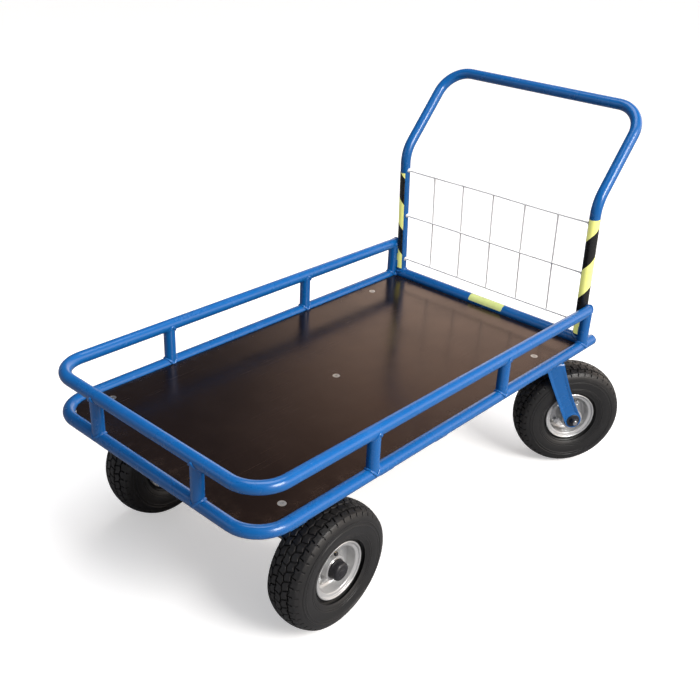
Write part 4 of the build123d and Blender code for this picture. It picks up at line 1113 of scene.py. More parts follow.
def label():
    """A blank label bent round the cross tube."""
    low, high = box("label_plate")
    x0, x1 = low[0], high[0]
    edge_steps = np.array([0, 0.15, 0.5, 1.0, 1.7, 2.5, 3.5])
    x = np.concatenate([x0 + edge_steps, np.linspace(x0 + 6, x1 - 6, 34),
                        x1 - edge_steps[::-1]])[:, None]
    across = np.concatenate([[0, 0.004, 0.015, 0.03, 0.06], np.linspace(0.1, 0.9, 26),
                             [0.94, 0.97, 0.985, 0.996, 1]])
    # rounded corners: the bent edges draw in towards both ends
    into_corner = np.maximum(0.0, LABEL_CORNER_R - np.minimum(x - x0, x1 - x))
    inset = LABEL_CORNER_R - np.sqrt(np.maximum(0.0, LABEL_CORNER_R ** 2 - into_corner ** 2))
    angle_0 = math.radians(LABEL_ANGLES[0]) + inset / LABEL_ARC_R
    angle_1 = math.radians(LABEL_ANGLES[1]) - inset / LABEL_ARC_R
    angle = angle_0 + (angle_1 - angle_0) * across
    from_edge = np.minimum(across, 1 - across) * (angle_1 - angle_0) * LABEL_ARC_R
    radius = CROSS_R + 0.30 + 0.10 * np.exp(-from_edge / 1.5) * (
        0.4 + 0.6 * np.sin(x * 0.11 + across * 2) ** 2)
    centre = np.stack(np.broadcast_arrays(x + 0 * angle, CROSS_Y, CROSS_Z), -1)
    outer = centre + np.stack([0 * angle, radius * np.cos(angle), radius * np.sin(angle)], -1)
    m = Mesh()
    m.thin_sheet(outer, outer - (outer - centre) * (LABEL_T / CROSS_R))
    add_object("label_blank", m, "label_film", ["label_plate"])


# ------------------------------------------------------------------------ deck
HOLE_SEG = 40
# (inset, height) round the board's edge, from the top face to the bottom face
DECK_EDGE = [(0.9, DECK_TOP), (0.42, DECK_TOP - 0.10), (0.12, DECK_TOP - 0.40),
             (0.0, DECK_TOP - 0.9), (0.0, DECK_BOTTOM + 0.7), (0.2, DECK_BOTTOM + 0.2),
             (0.7, DECK_BOTTOM)]
# (radius, height) down a countersunk hole
DECK_HOLE = [(8.95, DECK_TOP), (8.45, DECK_TOP - 0.22), (4.35, DECK_TOP - 4.3),
             (4.3, DECK_TOP - 4.8), (4.3, DECK_BOTTOM + 0.3), (4.6, DECK_BOTTOM)]


def hole_loop(centre, radius):
    angles = around(HOLE_SEG)
    return np.stack([centre[0] + radius * np.cos(angles), centre[1] + radius * np.sin(angles)], -1)


def inset_loop(loop, distance):
    """Moves a closed 2D loop inwards."""
    after, before = np.roll(loop, -1, 0), np.roll(loop, 1, 0)
    heading_0, heading_1 = unit(loop - before), unit(after - loop)
    normal_0 = np.stack([-heading_0[:, 1], heading_0[:, 0]], -1)
    normal_1 = np.stack([-heading_1[:, 1], heading_1[:, 0]], -1)
    area = 0.5 * np.sum(loop[:, 0] * after[:, 1] - after[:, 0] * loop[:, 1])
    normal = unit(normal_0 + normal_1)
    stretch = 1 / np.maximum(0.3, (normal * normal_0).sum(1))
    return loop + (1 if area > 0 else -1) * normal * (distance * stretch)[:, None]


def at_height(loop, z):
    return np.concatenate([loop, np.full((len(loop), 1), z)], 1)


def flat_face(m, loops, z):
    """Fills the first loop round the others; its vertices keep the loops' order."""
    bm = bmesh.new()
    edges = []
    for loop in loops:
        verts = [bm.verts.new((p[0], p[1], 0)) for p in loop]
        edges += [bm.edges.new((verts[i], verts[(i + 1) % len(verts)])) for i in range(len(verts))]
    bmesh.ops.triangle_fill(bm, use_beauty=True, use_dissolve=False, edges=edges)
    bm.verts.index_update()
    first = m.add(at_height(np.array([v.co[:2] for v in bm.verts]), z))
    for triangle in bm.faces:
        m.face([first + v.index for v in triangle.verts])
    bm.free()
    return first


def deck():
    """The board, with film on its faces and bare veneers on its edge and in its holes."""
    half_x, front_y, rear_y = deck_high[0], deck_low[1], deck_high[1]
    front_r = CORNER_R - TUBE_R - 0.5
    corners = [(-half_x, rear_y), (-half_x, front_y), (half_x, front_y), (half_x, rear_y)]
    outline = rounded(corners, [3.0, front_r, front_r, 3.0], steps=16)
    m = Mesh()
    top, bottom = [
        flat_face(m, [inset_loop(outline, DECK_EDGE[i][0])]
                  + [hole_loop(centre, DECK_HOLE[i][0]) for centre in DECK_HOLES], DECK_EDGE[i][1])
        for i in (0, -1)]
    rows = [m.add(at_height(inset_loop(outline, inset), z)) for inset, z in DECK_EDGE[1:-1]]
    rows = [top, *rows, bottom]
    for k in range(len(rows) - 1):
        m.band(rows[k], rows[k + 1], len(outline), material=1 if k in (2, 3) else 0)
    for hole, centre in enumerate(DECK_HOLES):
        offset = len(outline) + hole * HOLE_SEG
        rows = [m.add(at_height(hole_loop(centre, radius), z)) for radius, z in DECK_HOLE[1:-1]]
        rows = [top + offset, *rows, bottom + offset]
        for k in range(len(rows) - 1):
            m.band(rows[k], rows[k + 1], HOLE_SEG, material=1 if k else 0)
    add_object("deck_board", m, "deck_board", ["deck_panel"], [DECK_FILM, PLY_EDGE],
               sharp=32, weighted=True)


# ---------------------------------------------------------------------- wheels
WHEELS = ("front_right", "front_left", "castor_right", "castor_left")
FRONT_HUB_HALF = 22.0
CASTOR_HUB_HALF = 45.6


def middle(node):
    low, high = box(node)
    return (low + high) / 2


def trail_direction(name):
    """From the kingpin to the wheel, level."""
    centre, pin = middle(name + "_hub"), middle(name + "_kingpin")
    return unit([centre[0] - pin[0], centre[1] - pin[1], 0.0])


def wheel_spindle(name):
    """The wheel's axis, pointing away from the trolley's middle."""
    centre = middle(name + "_hub")
    if name.startswith("front"):
        axis = X * (1 if centre[0] > 0 else -1)
    else:
        axis = np.cross(trail_direction(name), Z)
        if axis[0] * centre[0] < 0:
            axis = -axis
    centre = np.array([centre[0], centre[1], box(name + "_tyre")[1][2] / 2])
    return Spindle(centre, axis, Z)


def curve_through(points, steps):
    """Catmull-Rom through 2D points."""
    points = np.array(points, float)
    padded = np.concatenate([[2 * points[0] - points[1]], points, [2 * points[-1] - points[-2]]])
    curve = []
    for i in range(1, len(padded) - 2):
        p0, p1, p2, p3 = padded[i - 1:i + 3]
        for k in range(steps):
            t = k / steps
            curve.append(0.5 * ((2 * p1) + (-p0 + p2) * t + (2 * p0 - 5 * p1 + 4 * p2 - p3) * t * t
                                + (-p0 + 3 * p1 - 3 * p2 + p3) * t ** 3))
    curve.append(points[-1])
    return np.array(curve)


TYRE_R = 130.0
CROWN_R = 72.6  # radius of the tread's arc from side to side
TREAD_HALF = 35
PITCHES = 42    # repeats of the tread pattern round the tyre
GROOVE_DEPTH = 4.6
GROOVE_X = (-22.0, -7.4, 7.4, 22.0)
# half of a groove's section: (from its middle, share of the depth)
GROOVE_SECTION = ((-2.15, 0.0), (-1.75, 0.10), (-1.1, 1.0), (1.1, 1.0), (1.75, 0.10), (2.15, 0.0))
# blocks between the grooves: (x from, x to, row)
TREAD_BLOCKS = ((-34.2, -24.4, 3), (-19.6, -9.8, 2), (-5.0, 5.0, 1), (9.8, 19.6, 2),
                (24.4, 34.2, 3))
# by row, the middle one first: depth of the cross cuts, and their phase in the pitch
CUT_DEPTH = {1: 2.4, 2: 4.4, 3: GROOVE_DEPTH}
CUT_PHASE = {1: 0.0, 2: 0.5, 3: 0.0}
# side wall: (x, radius)
TYRE_WALL = [(31.2, 61.6), (38.6, 73.0), (42.4, 92.0), (40.3, 110.0), (35.0, 121.0)]
# radii of plain stations on the wall
WALL_STATIONS = (61.6, 62.8, 71.0, 73.5, 85.0, 89.0, 93.0, 101.0, 108.5, 110.6)
# raised ribs on the wall: (radius from, radius to, height)
WALL_RIBS = ((64.2, 67.6, 1.0), (76.0, 77.4, 0.45), (80.0, 81.4, 0.45), (97.6, 99.0, 0.45),
             (103.2, 106.0, 0.8))
# cuts running down the shoulder: (radius, depth)
SHOULDER_CUTS = ((111.8, 0.0), (114.6, 0.0), (115.4, 0.9), (117.8, 1.8), (120.2, 3.2))
# inside of the tyre, from one foot to the middle: (x, radius)
TYRE_INSIDE = [(26.4, 61.3), (26.3, 56.0), (26.3, 51.0), (16.2, 51.0), (19.0, 56.5), (24.5, 64.0),
               (31.0, 74.0), (34.8, 84.0), (36.0, 92.0), (34.8, 101.0), (31.0, 108.5),
               (22.0, 114.8), (10.0, 117.6), (0.0, 118.2)]
# how far the pattern is swept round the tyre: (x, distance)
TREAD_SLANT = [(-44, 0), (-35, 0.2), (-22, 3.4), (-7.4, -2.2), (7.4, 2.2), (22, -3.4),
               (35, -0.2), (44, 0)]


def crown_radius(x):
    return TYRE_R - (CROWN_R - np.sqrt(CROWN_R ** 2 - x ** 2))


def wall_stations():
    """Stations up one side: (point, normal, groove share, cut depth, row)."""
    wall = curve_through(TYRE_WALL, 24)
    steps = np.linalg.norm(np.diff(wall, axis=0), axis=1)
    distance = np.concatenate([[0], np.cumsum(steps)])

    def distance_at(radius):
        return float(np.interp(radius, wall[:, 1], distance))

    def place(s):
        return np.array([np.interp(s, distance, wall[:, 0]), np.interp(s, distance, wall[:, 1])])

    # (distance along the wall, raised by, cut depth)
    marks = [(distance_at(radius), 0, 0.0) for radius in WALL_STATIONS]
    for radius_0, radius_1, height in WALL_RIBS:
        low, high = distance_at(radius_0), distance_at(radius_1)
        marks += [(low - 0.35, 0, 0.0), (low + 0.25, height, 0.0),
                  (high - 0.25, height, 0.0), (high + 0.35, 0, 0.0)]
    marks += [(distance_at(radius), 0, depth) for radius, depth in SHOULDER_CUTS]
    stations = []
    for s, height, depth in sorted(marks):
        heading = unit(place(min(distance[-1], s + 0.5)) - place(max(0, s - 0.5)))
        normal = np.array([heading[1], -heading[0]])
        stations.append((place(s) + normal * height, normal, 0.0, depth, 3))
    return stations


def tread_stations():
    """Stations across the tread, in the same form."""
    marks = [(x, 0.0, row) for x0, x1, row in TREAD_BLOCKS for x in np.linspace(x0, x1, 3)]
    for groove in GROOVE_X:
        for dx, share in GROOVE_SECTION:
            x = groove + dx
            marks.append((x, share, 1 if abs(x) < 7.4 else 2 if abs(x) < 22 else 3))
    return [(np.array([x, crown_radius(x)]),
             unit([x, crown_radius(x) - (TYRE_R - CROWN_R)]), share, CUT_DEPTH[row], row)
            for x, share, row in sorted(marks)]


def tyre(name, wheel):
    """Moulded tyre: zigzag grooves, offset blocks, shoulder cuts, ribbed walls."""
    wall = wall_stations()
    flip = np.array([-1, 1])
    stations = [(point * flip, normal * flip, *rest) for point, normal, *rest in wall]
    stations += tread_stations() + wall[::-1]
    # positions round the tyre, counted in pitches; close together at the cuts
    one_pitch = [phase + step for phase in (0.0, 0.5)
                 for step in (-0.100, -0.080, -0.050, 0.050, 0.080, 0.100)]
    one_pitch = np.sort(np.mod(one_pitch + [0.2, 0.3, 0.7, 0.8], 1.0))
    turns = np.concatenate([k + one_pitch for k in range(PITCHES)])
    angles = turns / PITCHES * 2 * math.pi
    share_of_pitch = np.mod(turns, 1.0)
    triangle = 1 - 4 * np.abs(share_of_pitch - 0.5)

    def cut(row):
        """1 in the cross cut, falling to 0 at its sides."""
        from_cut = np.abs((share_of_pitch - CUT_PHASE[row] + 0.5) % 1.0 - 0.5)
        side = 0.0 if row == 1 else 0.10
        return np.where(from_cut <= 0.0505, 1.0, np.where(from_cut <= 0.0805, side, 0.0))

    columns = []
    for point, normal, share, depth, row in stations:
        x = point[0]
        zigzag = 1.5 * float(np.clip((TREAD_HALF - abs(x)) / 11.0, 0, 1)) * triangle
        slant = float(np.interp(x, *np.transpose(TREAD_SLANT)))
        sunk = np.maximum(share * GROOVE_DEPTH, cut(row) * depth)
        radius = crown_radius(x + zigzag) if abs(x) < TREAD_HALF else point[1]
        columns.append(wheel.ring(x + zigzag - normal[0] * sunk, radius - normal[1] * sunk,
                                  angles + slant / TYRE_R))
    inside = TYRE_INSIDE + [(-x, radius) for x, radius in TYRE_INSIDE[-2::-1]]
    columns += [wheel.ring(x, radius, angles) for x, radius in inside]
    m = Mesh()
    m.grid(np.stack(columns, 1), wrap_u=True, wrap_v=True)
    add_object(name + "_tyre_moulded", m, "tyre_rubber", [name + "_tyre"],
               body=name + "_wheel", sharp=34, wheel=wheel)


# one half of the rim: (along the axis, radius, corner radius)
RIM_SECTION = [(0.06, 25.12, 0.3), (2.0, 25.12, 0.5), (2.0, 43.0, 6.0), (7.0, 48.75, 5.0),
               (27.6, 48.75, 3.0), (28.9, 56.2, 1.6), (31.3, 57.0, 1.6), (32.7, 59.2, 1.3),
               (31.4, 61.2, 1.1), (29.2, 60.9, 1.6), (26.5, 57.6, 1.6), (26.5, 50.75, 1.2),
               (0.06, 50.75, 0.4)]


def rim(name, wheel):
    """Two pressed halves, back to back."""
    m = Mesh()
    for side in (1, -1):
        section = rounded([(side * x, radius) for x, radius, _ in RIM_SECTION],
                          [corner for _, _, corner in RIM_SECTION], steps=6)
        revolve(m, section, wheel, 160)
    add_object(name + "_rim_pressed", m, "rim_steel", [name + "_rim_halves"],
               body=name + "_wheel", sharp=40, wheel=wheel)


def hub(name, wheel, half):
    """A hub tube with a flange near its middle and a bearing seat at each end."""
    seat = half - 12.0
    # (along the axis, radius, corner radius)
    section = [(-half, 21.05, 0.2), (-half, 24.4, 0.4), (-half + 0.6, 25.0, 0.4),
               (1.2, 25.0, 0.6), (2.06, 25.6, 0.6), (2.06, 41.4, 0.4), (2.5, 42.0, 0.4),
               (4.4, 42.0, 0.5), (5.0, 41.4, 0.5), (5.0, 28.2, 2.0), (5.8, 26.2, 1.6),
               (8.0, 25.2, 1.2), (half - 0.6, 25.0, 0.3), (half, 24.4, 0.4),
               (half, 21.05, 0.2), (seat, 21.05, 0.2), (seat, 18.0, 0.2),
               (-seat, 18.0, 0.2), (-seat, 21.05, 0.2)]
    m = Mesh()
    revolve(m, rounded([row[:2] for row in section], [row[2] for row in section], steps=5),
            wheel, 96)
    add_object(name + "_hub_turned", m, "rim_steel", [name + "_hub"],
               body=name + "_wheel", wheel=wheel)


RIM_BOLT_CIRCLE_R = 34.0
RIM_BOLT_R = 3.96
RIM_BOLT_AF = 13.0


def rim_bolts(name, wheel):
    """Four bolts with washers and nuts, each turned by a different amount."""
    m = Mesh()
    for k in range(4):
        place = math.radians(45 + 90 * k)
        spin = 0.35 * k
        spoke = math.cos(place) * wheel.up + math.sin(place) * wheel.side
        bolt = Spindle(wheel.centre + spoke * RIM_BOLT_CIRCLE_R, wheel.axis,
                       math.cos(spin) * wheel.up + math.sin(spin) * wheel.side)
        washer = [(5.03, 1.0), (5.03, 8.2), (5.3, 8.6), (6.2, 8.6), (6.45, 8.2), (6.45, 1.0)]
        revolve_solid(m, washer, bolt, 36)
        hexagon(m, bolt, 6.45, 11.6, RIM_BOLT_AF, dish=0.5)
        shank = [(-1.9, 1.0), (-1.9, RIM_BOLT_R), (4.9, RIM_BOLT_R), (4.9, 1.0)]
        revolve_solid(m, shank, bolt, 24)
        hexagon(m, bolt, -2.05, -8.3, RIM_BOLT_AF, bore=3.98)
        thread(m, bolt, -8.3, -11.0, RIM_BOLT_R)
    add_object(name + "_rim_bolt_set", m, "zinc_steel", [name + "_rim_bolts"],
               body=name + "_wheel", sharp=30, wheel=wheel)


# half of the inner tube's section: (along the axis, radius)
INNER_TUBE_HALF = [(14.5, 51.5), (20.6, 61.8), (30.6, 75), (34.7, 92), (30.7, 107.2),
                   (17.2, 115.0)]
# rubber-covered stem: (along the stem, radius)
VALVE_STEM = [(-0.2, 1.0), (-0.2, 3.9), (1.0, 4.0), (3.0, 3.6), (6.5, 3.6), (7.0, 3.15),
              (7.6, 3.15), (8.1, 3.6), (15.0, 3.5), (15.6, 3.0), (16.2, 3.0), (16.8, 3.4),
              (17.6, 3.3), (17.9, 2.4), (17.9, 1.0)]
VALVE_CAP_R = 3.7
VALVE_CAP_SEG = 72
# (along the stem, share of the cap's radius, whether it is ribbed)
VALVE_CAP = [(19.2, 0.80, 0), (19.2, 0.97, 0), (19.6, 1.0, 1), (24.4, 1.0, 1), (25.0, 0.95, 0),
             (25.8, 0.84, 0), (26.3, 0.62, 0), (26.4, 0.3, 0)]


def inner_tube(name, wheel):
    """The inner tube with its slanting valve: stem, threaded end and ribbed cap."""
    body = name + "_wheel"
    section = [(-x, radius) for x, radius in INNER_TUBE_HALF] + [(0, 117.0)]
    section += INNER_TUBE_HALF[::-1]
    m = Mesh()
    revolve(m, rounded(section, [2] + [9] * 11 + [2], steps=6), wheel, 96)
    slant = math.radians(35)
    heading = wheel.axis * math.sin(slant) - wheel.up * math.cos(slant)
    foot = wheel.centre + wheel.axis * 8 + wheel.up * 52.2
    valve = Spindle(foot, heading, unit(np.cross(heading, wheel.side)))
    revolve_solid(m, VALVE_STEM, valve, 32)
    add_object(name + "_inner_tube_skin", m, "tube_rubber", [name + "_inner_tube"],
               body=body, wheel=wheel)

    m = Mesh()
    thread(m, valve, 17.6, 20.2, 2.6, pitch=0.8, seg=28)
    add_object(name + "_valve_thread", m, "zinc_steel", materials=[BRASS], body=body, sharp=30,
               wheel=wheel)

    m = Mesh()
    ribbed_r = VALVE_CAP_R + 0.22 * (np.cos(around(VALVE_CAP_SEG) * 12) > 0)
    cap = [(along, (ribbed_r if ribbed else VALVE_CAP_R) * share)
           for along, share, ribbed in VALVE_CAP]
    revolve_solid(m, cap, valve, VALVE_CAP_SEG)
    add_object(name + "_valve_cap", m, "black_plastic", body=body, wheel=wheel)


def bearings(name, wheel, half):
    """A sealed bearing in each end of the hub."""
    outer, inner = half - 0.05, half - 11.95
    section = [(inner, 10.06), (inner, 20.9), (inner + 0.3, 21.0), (outer - 0.4, 21.0),
               (outer, 20.6), (outer, 18.4), (outer - 0.7, 18.2), (outer - 0.9, 17.6),
               (outer - 0.5, 15.5), (outer - 0.9, 13.4), (outer - 0.7, 12.9), (outer, 12.7),
               (outer, 10.4), (outer - 0.3, 10.06)]
    m = Mesh()
    for side in (1, -1):
        revolve(m, [(side * x, radius) for x, radius in section], wheel, 80)
    add_object(name + "_bearings_sealed", m, "bearing_steel", [name + "_bearings"],
               body=name + "_wheel", wheel=wheel)


# domed cap: (along the axle from its foot, radius)
AXLE_CAP = [(0.0, 10.8), (0.0, 18.6), (0.4, 19.4), (1.4, 19.7), (2.4, 19.4), (2.9, 18.9),
            (8.0, 18.85), (12.6, 18.7), (14.8, 17.7), (16.3, 15.4), (17.2, 12.2), (17.45, 9.6),
            (17.15, 9.0), (17.2, 8.4), (17.8, 7.8), (18.15, 5.0), (18.2, 1.6)]


def axle_caps(wheels):
    """Domed caps on the ends of the front axle."""
    cap_end = box("axle_end_caps")[1][0]
    m = Mesh()
    for name in ("front_right", "front_left"):
        wheel = wheels[name]
        foot = cap_end - abs(wheel.centre[0]) - AXLE_CAP[-1][0]
        revolve_solid(m, [(foot + along, radius) for along, radius in AXLE_CAP], wheel, 72)
    add_object("axle_domed_caps", m, "black_plastic", ["axle_end_caps"])


# --------------------------------------------------------------------- castors
FORK_T = 3.5
FORK_MID = 47.75    # from the wheel's middle to the middle of a leg's sheet
FORK_BEND_R = 8.0
FORK_FOOT_R = 20.0
FORK_RAISE = 1.5    # how far the edges and the axle seat stand out
FORK_SEAT = FORK_MID + FORK_T / 2 + FORK_RAISE
# edges of a leg: (height, distance from the kingpin towards the wheel)
FORK_NEAR_EDGE = [(110.0, 65.0), (121.2, 46.9), (140, 37.8), (158, 29.2), (172, 22.9),
                  (186, 16.2), (230, -4.4), (288, -29.5)]
FORK_FAR_EDGE = [(110.0, 65.0), (139.3, 82.6), (160, 71.6), (170, 66.4), (178, 62.2),
                 (188, 57.6), (206, 49.2), (216, 44.8), (222, 42.2), (230, 39.0),
                 (250, 31.4), (288, 18.5)]
# edges of the crown, which is a disc of its own radius near the kingpin
CROWN_NEAR, CROWN_FAR = -28.5, 21.0
CROWN_DISC_R, CROWN_DISC_X = 38.0, 34
# columns of points in from each edge
FORK_EDGE_STEPS = np.array([0.0, 0.5, 1.6, 3.2, 4.8, 6.6, 8.6])


def smooth(value, start, end):
    t = np.clip((value - start) / (end - start), 0, 1)
    return t * t * (3 - 2 * t)


def fork_path(axle_z, crown_z):
    """Middle of the sheet from foot to foot: (x, z, outward x, outward z)."""
    bend_z = crown_z - FORK_BEND_R
    bend_x = FORK_MID - FORK_BEND_R
    leg_z = np.concatenate([axle_z - FORK_FOOT_R * np.cos(np.linspace(0.03, 1.5, 14)),
                            np.linspace(axle_z + 1.5, bend_z, 62)])
    half = [(FORK_MID, z, 1.0, 0.0) for z in leg_z]
    half += [(bend_x + FORK_BEND_R * math.cos(turn), bend_z + FORK_BEND_R * math.sin(turn),
              math.cos(turn), math.sin(turn)) for turn in np.linspace(0, math.pi / 2, 10)[1:]]
    half += [(x, crown_z, 0.0, 1.0) for x in np.linspace(bend_x, 0, 14)[1:]]
    return half + [(-x, z, -out_x, out_z) for x, z, out_x, out_z in half[-2::-1]]


def fork_edges(x, z, trail, axle_z, crown_z):
    """Where the sheet begins and ends, measured from the kingpin towards the wheel."""
    x = abs(x)
    if z >= crown_z - 1e-6 and x < FORK_MID - FORK_BEND_R + 1e-6:
        if x >= CROWN_DISC_X:
            return CROWN_NEAR, CROWN_FAR
        disc = math.sqrt(max(0.0, CROWN_DISC_R ** 2 - x ** 2))
        return min(CROWN_NEAR, -disc), max(CROWN_FAR, disc)
    near = float(np.interp(z, *np.transpose(FORK_NEAR_EDGE)))
    far = float(np.interp(z, *np.transpose(FORK_FAR_EDGE)))
    # the round foot about the axle
    foot = math.sqrt(max(0.0, FORK_FOOT_R ** 2 - (z - axle_z) ** 2))
    if z < FORK_NEAR_EDGE[1][0]:
        near = trail - foot
    if z < FORK_FAR_EDGE[1][0]:
        far = trail + foot
    return near, far


def fork(name, wheel):
    """Pressed fork: one sheet bent down both sides, edges and axle seat raised."""
    pin = middle(name + "_kingpin")
    pivot = np.array([pin[0], pin[1], 0.0])
    towards_wheel = trail_direction(name)
    trail = float((wheel.centre - pivot) @ towards_wheel)
    axle_z = wheel.centre[2]
    crown_z = box(name + "_fork")[1][2] - FORK_T / 2
    path = fork_path(axle_z, crown_z)
    edges = np.array([fork_edges(x, z, trail, axle_z, crown_z) for x, z, _, _ in path])
    # soften the kinks of the outline away from the round foot
    keep = np.array([z < 146 for _, z, _, _ in path])
    for _ in range(6):
        softened = edges.copy()
        softened[1:-1] = (edges[:-2] + 2 * edges[1:-1] + edges[2:]) / 4
        softened[keep] = edges[keep]
        edges = softened

    rows = []
    for (x, z, out_x, out_z), (near, far) in zip(path, edges):
        width = far - near
        margins = FORK_EDGE_STEPS * min(1.0, width / 26.0)
        columns = np.concatenate([
            near + margins,
            near + margins[-1] + (width - 2 * margins[-1]) * np.linspace(0.1, 0.9, 7),
            far - margins[::-1]])
        row = []
        for s in columns:
            lip = 1 - smooth(min(s - near, far - s), 3.2, 7.4)
            seat = 1 - smooth(math.hypot(s - trail, z - axle_z), 17.0, 20.5)
            fade = 1 - smooth(z, crown_z - 30, crown_z - FORK_BEND_R)
            lift = FORK_RAISE * max(lip, seat) * fade
            row.append(pivot + s * towards_wheel + (x + out_x * lift) * wheel.axis
                       + (z + out_z * lift) * Z)
        rows.append(row)
    sheet = np.array(rows)
    normals = unit(np.cross(np.gradient(sheet, axis=0), np.gradient(sheet, axis=1)))
    outward = np.array([out_x * wheel.axis + out_z * Z for _, _, out_x, out_z in path])
    flip = np.sign((normals * outward[:, None, :]).sum(-1, keepdims=True))
    normals = normals * np.where(flip == 0, 1, flip)
    normals[0], normals[-1] = wheel.axis, -wheel.axis

    m = Mesh()
    nu, nv = sheet.shape[:2]
    outer = m.grid(sheet + normals * FORK_T / 2)
    inner = m.add(sheet - normals * FORK_T / 2)
    for i in range(nu - 1):
        for j in range(nv - 1):
            corner = inner + i * nv + j
            m.face([corner, corner + 1, corner + nv + 1, corner + nv])
    rim_edges = [(i * nv + j, (i + 1) * nv + j) for i in range(nu - 1) for j in (0, nv - 1)]
    rim_edges += [(i * nv + j, i * nv + j + 1) for j in range(nv - 1) for i in (0, nu - 1)]
    for p0, p1 in rim_edges:
        m.face([outer + p0, outer + p1, inner + p1, inner + p0])
    add_object(name + "_fork_pressed", m, "frame_paint", [name + "_fork"],
               body=name + "_swivel", sharp=42, bevel=0.7)


def castor_hardware(name, wheel):
    """Axle bolt, with its washer and lock nut on the outer side."""
    body = name + "_swivel"
    seat, flats = FORK_SEAT, 18.0
    bore = 6.05
    m = Mesh()
    washer = [(0.02, bore), (0.02, 15.4), (0.4, 15.95), (1.5, 15.95), (2.0, 15.3), (2.1, 12.0),
              (2.1, bore)]
    collar = [(10.2, bore), (10.2, 8.5), (12.4, 8.3), (13.2, 7.6), (13.4, 6.6), (13.0, bore)]
    revolve(m, [(seat + along, radius) for along, radius in washer], wheel, 64)
    hexagon(m, wheel, seat + 2.1, seat + 11.0, flats, bore=bore)
    revolve(m, [(seat + along, radius) for along, radius in collar], wheel, 64)
    add_object(name + "_lock_nut", m, "dark_steel", [name + "_axle_nut"], body=body, sharp=30)

    m = Mesh()
    shank = [(-seat - 0.4, 1.0), (-seat - 0.4, 6.0), (seat - 2, 6.0), (seat - 2, 1.0)]
    head_washer = [(0.05, 1.0), (0.05, 11.6), (0.4, 12.0), (1.7, 12.0), (2.0, 11.6), (2.0, 1.0)]
    revolve_solid(m, shank, wheel, 40)
    thread(m, wheel, seat - 1.0, seat + 14.6, 5.96, pitch=1.75, seg=48)
    revolve_solid(m, [(-seat - along, radius) for along, radius in head_washer], wheel, 56)
    hexagon(m, wheel, -seat - 2.0, -seat - 8.0, flats, dish=0.6)
    add_object(name + "_axle_bolt_turned", m, "dark_steel", [name + "_axle_bolt"], [AXLE],
               body=body, sharp=30)


# CAD nodes that stay, and the width of their broken edges
BROKEN_EDGES = (("deck_cross_members", 0.5), ("castor_mount_plates", 0.6),
                ("axle_brackets", 0.7), ("castor_top_plates", 0.6), ("front_axle", 0.3),
                ("axle_spacers", 0.4))


def break_cad_edges():
    for node, width in BROKEN_EDGES:
        ob = NODES[node]
        ob.modifiers.new("weld", "WELD").merge_threshold = 0.00001
        add_bevel(ob, width, angle=35)


# ---------------------------------------------------------------------- studio
def add_floor():
    """A floor that looks pale but throws little light back up."""
    s = Shader("floor_pale")
    cloud = s.noise(scale=3, detail=4)
    seen = s.value("LightPath", "Is Camera Ray")
    pale = s.mix(cloud, (0.86, 0.86, 0.865), (0.89, 0.89, 0.89))
    s.set(Base_Color=s.mix(seen, (0.30, 0.30, 0.31), pale),
          Roughness=s.noise(scale=14, detail=3).ramp(span=(0.2, 0.8), to=(0.72, 0.88)),
          Specular_IOR_Level=0.1, Emission_Color=(1, 1, 1), Emission_Strength=seen * 0.42)
    half, z = 40.0, -0.0003
    me = bpy.data.meshes.new("floor")
    me.from_pydata([(-half, -half, z), (half, -half, z), (half, half, z), (-half, half, z)],
                   [], [(0, 1, 2, 3)])
    me.materials.append(s.material)
    floor = bpy.data.objects.new("floor", me)
    bpy.context.scene.collection.objects.link(floor)


# colour against the direction's z: (z, colour)
WALL_STOPS = [(0.0, (1.0, 0.92, 0.84)), (0.42, (1.0, 0.825, 0.695)), (0.50, (0.49, 0.39, 0.325)),
              (0.62, (0.060, 0.060, 0.066)), (1.0, (0.050, 0.054, 0.062))]
ROOM_STOPS = [(0.0, (0.13, 0.135, 0.15)), (0.5, (0.050, 0.054, 0.066)),
              (1.0, (0.050, 0.054, 0.062))]


def colour_ramp(graph, source, stops):
    node = graph.node("ValToRGB", Fac=source)
    node.color_ramp.interpolation = "EASE"
    elements = node.color_ramp.elements
    for element, (position, colour) in zip((elements[0], elements[1]), (stops[0], stops[-1])):
        element.position, element.color = position, (*colour, 1)
    for position, colour in stops[1:-1]:
        elements.new(position).color = (*colour, 1)
    return Value(graph, node.outputs[0])


def add_world():
    """A bright wall behind the handle, and a dim room on the other side and overhead."""
    world = bpy.data.worlds.new("studio")
    bpy.context.scene.world = world
    world.use_nodes = True
    g = Graph(world.node_tree)
    output = g.node("OutputWorld")
    x, y, z = g.split(g.value("TexCoord", "Generated"))
    wall = colour_ramp(g, z, WALL_STOPS)
    room = colour_ramp(g, z, ROOM_STOPS)
    # the wall fills the directions with y + 0.6 x well above zero
    towards_wall = g.math("MULTIPLY_ADD", x, 0.6, y).ramp(span=(0.135, 0.40))
    surroundings = g.value("Background", 0, Color=g.mix(towards_wall, room, wall), Strength=1.75)
    # the camera itself sees plain white beyond the floor
    white = g.value("Background", 0, Color=(1, 1, 1))
    blend = g.node("MixShader")
    for index, value in enumerate((g.value("LightPath", "Is Camera Ray"), surroundings, white)):
        g.put(blend.inputs[index], value)
    g.tree.links.new(blend.outputs[0], output.inputs[0])


def place_light(data, direction):
    light = bpy.data.objects.new(data.name, data)
    bpy.context.scene.collection.objects.link(light)
    light.rotation_mode = "QUATERNION"
    light.rotation_quaternion = Vector(direction).to_track_quat("-Z", "Y")
    return light


def area_light(name, location, aim, size, power, colour=(1, 1, 1)):
    data = bpy.data.lights.new(name, "AREA")
    data.shape = "RECTANGLE"
    data.size, data.size_y = size
    data.energy = power
    data.color = colour
    light = place_light(data, Vector(aim) - Vector(location))
    light.location = location


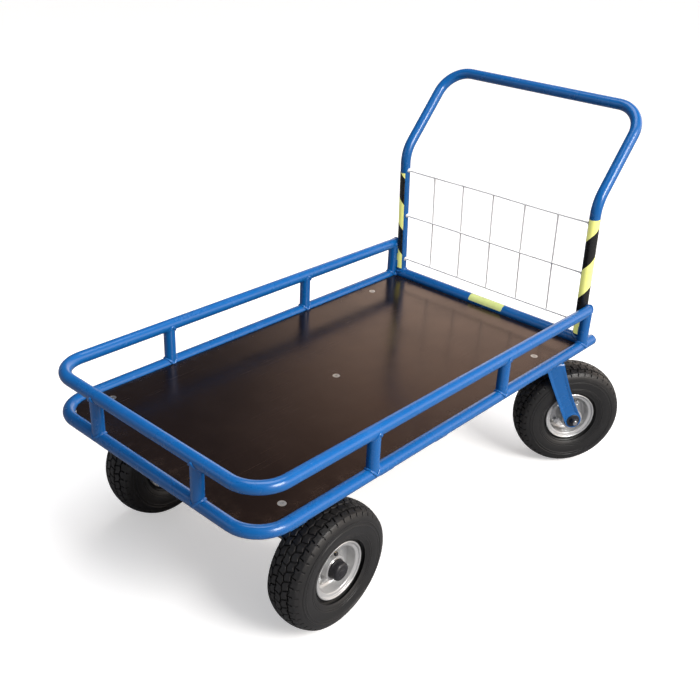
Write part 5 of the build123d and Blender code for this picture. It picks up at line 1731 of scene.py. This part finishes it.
def add_lights():
    area_light("key", location=(3.25, -0.1, 2.45), aim=(0.0, 0.0, 0.3), size=(1.5, 1.5),
               power=127, colour=(1.0, 0.985, 0.96))
    area_light("top", location=(-0.2, 0.3, 3.6), aim=(0.0, 0.0, 0.3), size=(2.0, 2.0), power=40)
    area_light("fill", location=(-1.6, -3.4, 1.9), aim=(0.0, 0.0, 0.4), size=(2.4, 1.8),
               power=8, colour=(0.96, 0.98, 1.0))
    sky = bpy.data.lights.new("sky", "SUN")
    sky.energy, sky.angle = 1.35, math.radians(60)
    place_light(sky, direction=(-0.42, -0.12, -1.0)).visible_glossy = False


CAMERA_AT = (1.1733, -1.40465, 1.2926)
CAMERA_AZIMUTH, CAMERA_HEIGHT, CAMERA_ROLL = 40.9923, 27.2117, 2.9163  # degrees
CAMERA_LENS, CAMERA_SENSOR = 48.111429, 36.0  # millimetres


def add_camera():
    azimuth, height, roll = map(math.radians, (CAMERA_AZIMUTH, CAMERA_HEIGHT, CAMERA_ROLL))
    back = Vector((math.sin(azimuth) * math.cos(height), -math.cos(azimuth) * math.cos(height),
                   math.sin(height)))
    level = Vector((math.cos(azimuth), math.sin(azimuth), 0.0))
    upward = back.cross(level)
    right = math.cos(roll) * level + math.sin(roll) * upward
    top = -math.sin(roll) * level + math.cos(roll) * upward
    camera = bpy.data.objects.new("camera", bpy.data.cameras.new("camera"))
    bpy.context.scene.collection.objects.link(camera)
    camera.data.lens = CAMERA_LENS
    camera.data.sensor_width = CAMERA_SENSOR
    camera.data.clip_start, camera.data.clip_end = 0.05, 200.0
    rows = [(right[i], top[i], back[i], CAMERA_AT[i]) for i in range(3)]
    camera.matrix_world = Matrix((*rows, (0, 0, 0, 1)))
    bpy.context.scene.camera = camera


# ----------------------------------------------------------------------- build
dress_cad_nodes()
lower_frame()
upper_rail()
rail_posts()
rear_posts()
cross_tube()
handle()
tube_plugs()
cross_wires()
upright_wires()
hazard_tapes()
label()
deck()

spindles = {}
for wheel_name in WHEELS:
    spindle = spindles[wheel_name] = wheel_spindle(wheel_name)
    hub_half = FRONT_HUB_HALF if wheel_name.startswith("front") else CASTOR_HUB_HALF
    tyre(wheel_name, spindle)
    rim(wheel_name, spindle)
    hub(wheel_name, spindle, hub_half)
    rim_bolts(wheel_name, spindle)
    inner_tube(wheel_name, spindle)
    bearings(wheel_name, spindle, hub_half)
axle_caps(spindles)
for castor_name in ("castor_right", "castor_left"):
    fork(castor_name, spindles[castor_name])
    castor_hardware(castor_name, spindles[castor_name])
break_cad_edges()

add_floor()
add_world()
add_lights()
bpy.context.scene.view_settings.view_transform = "Standard"
bpy.context.scene.view_settings.look = "None"
add_camera()
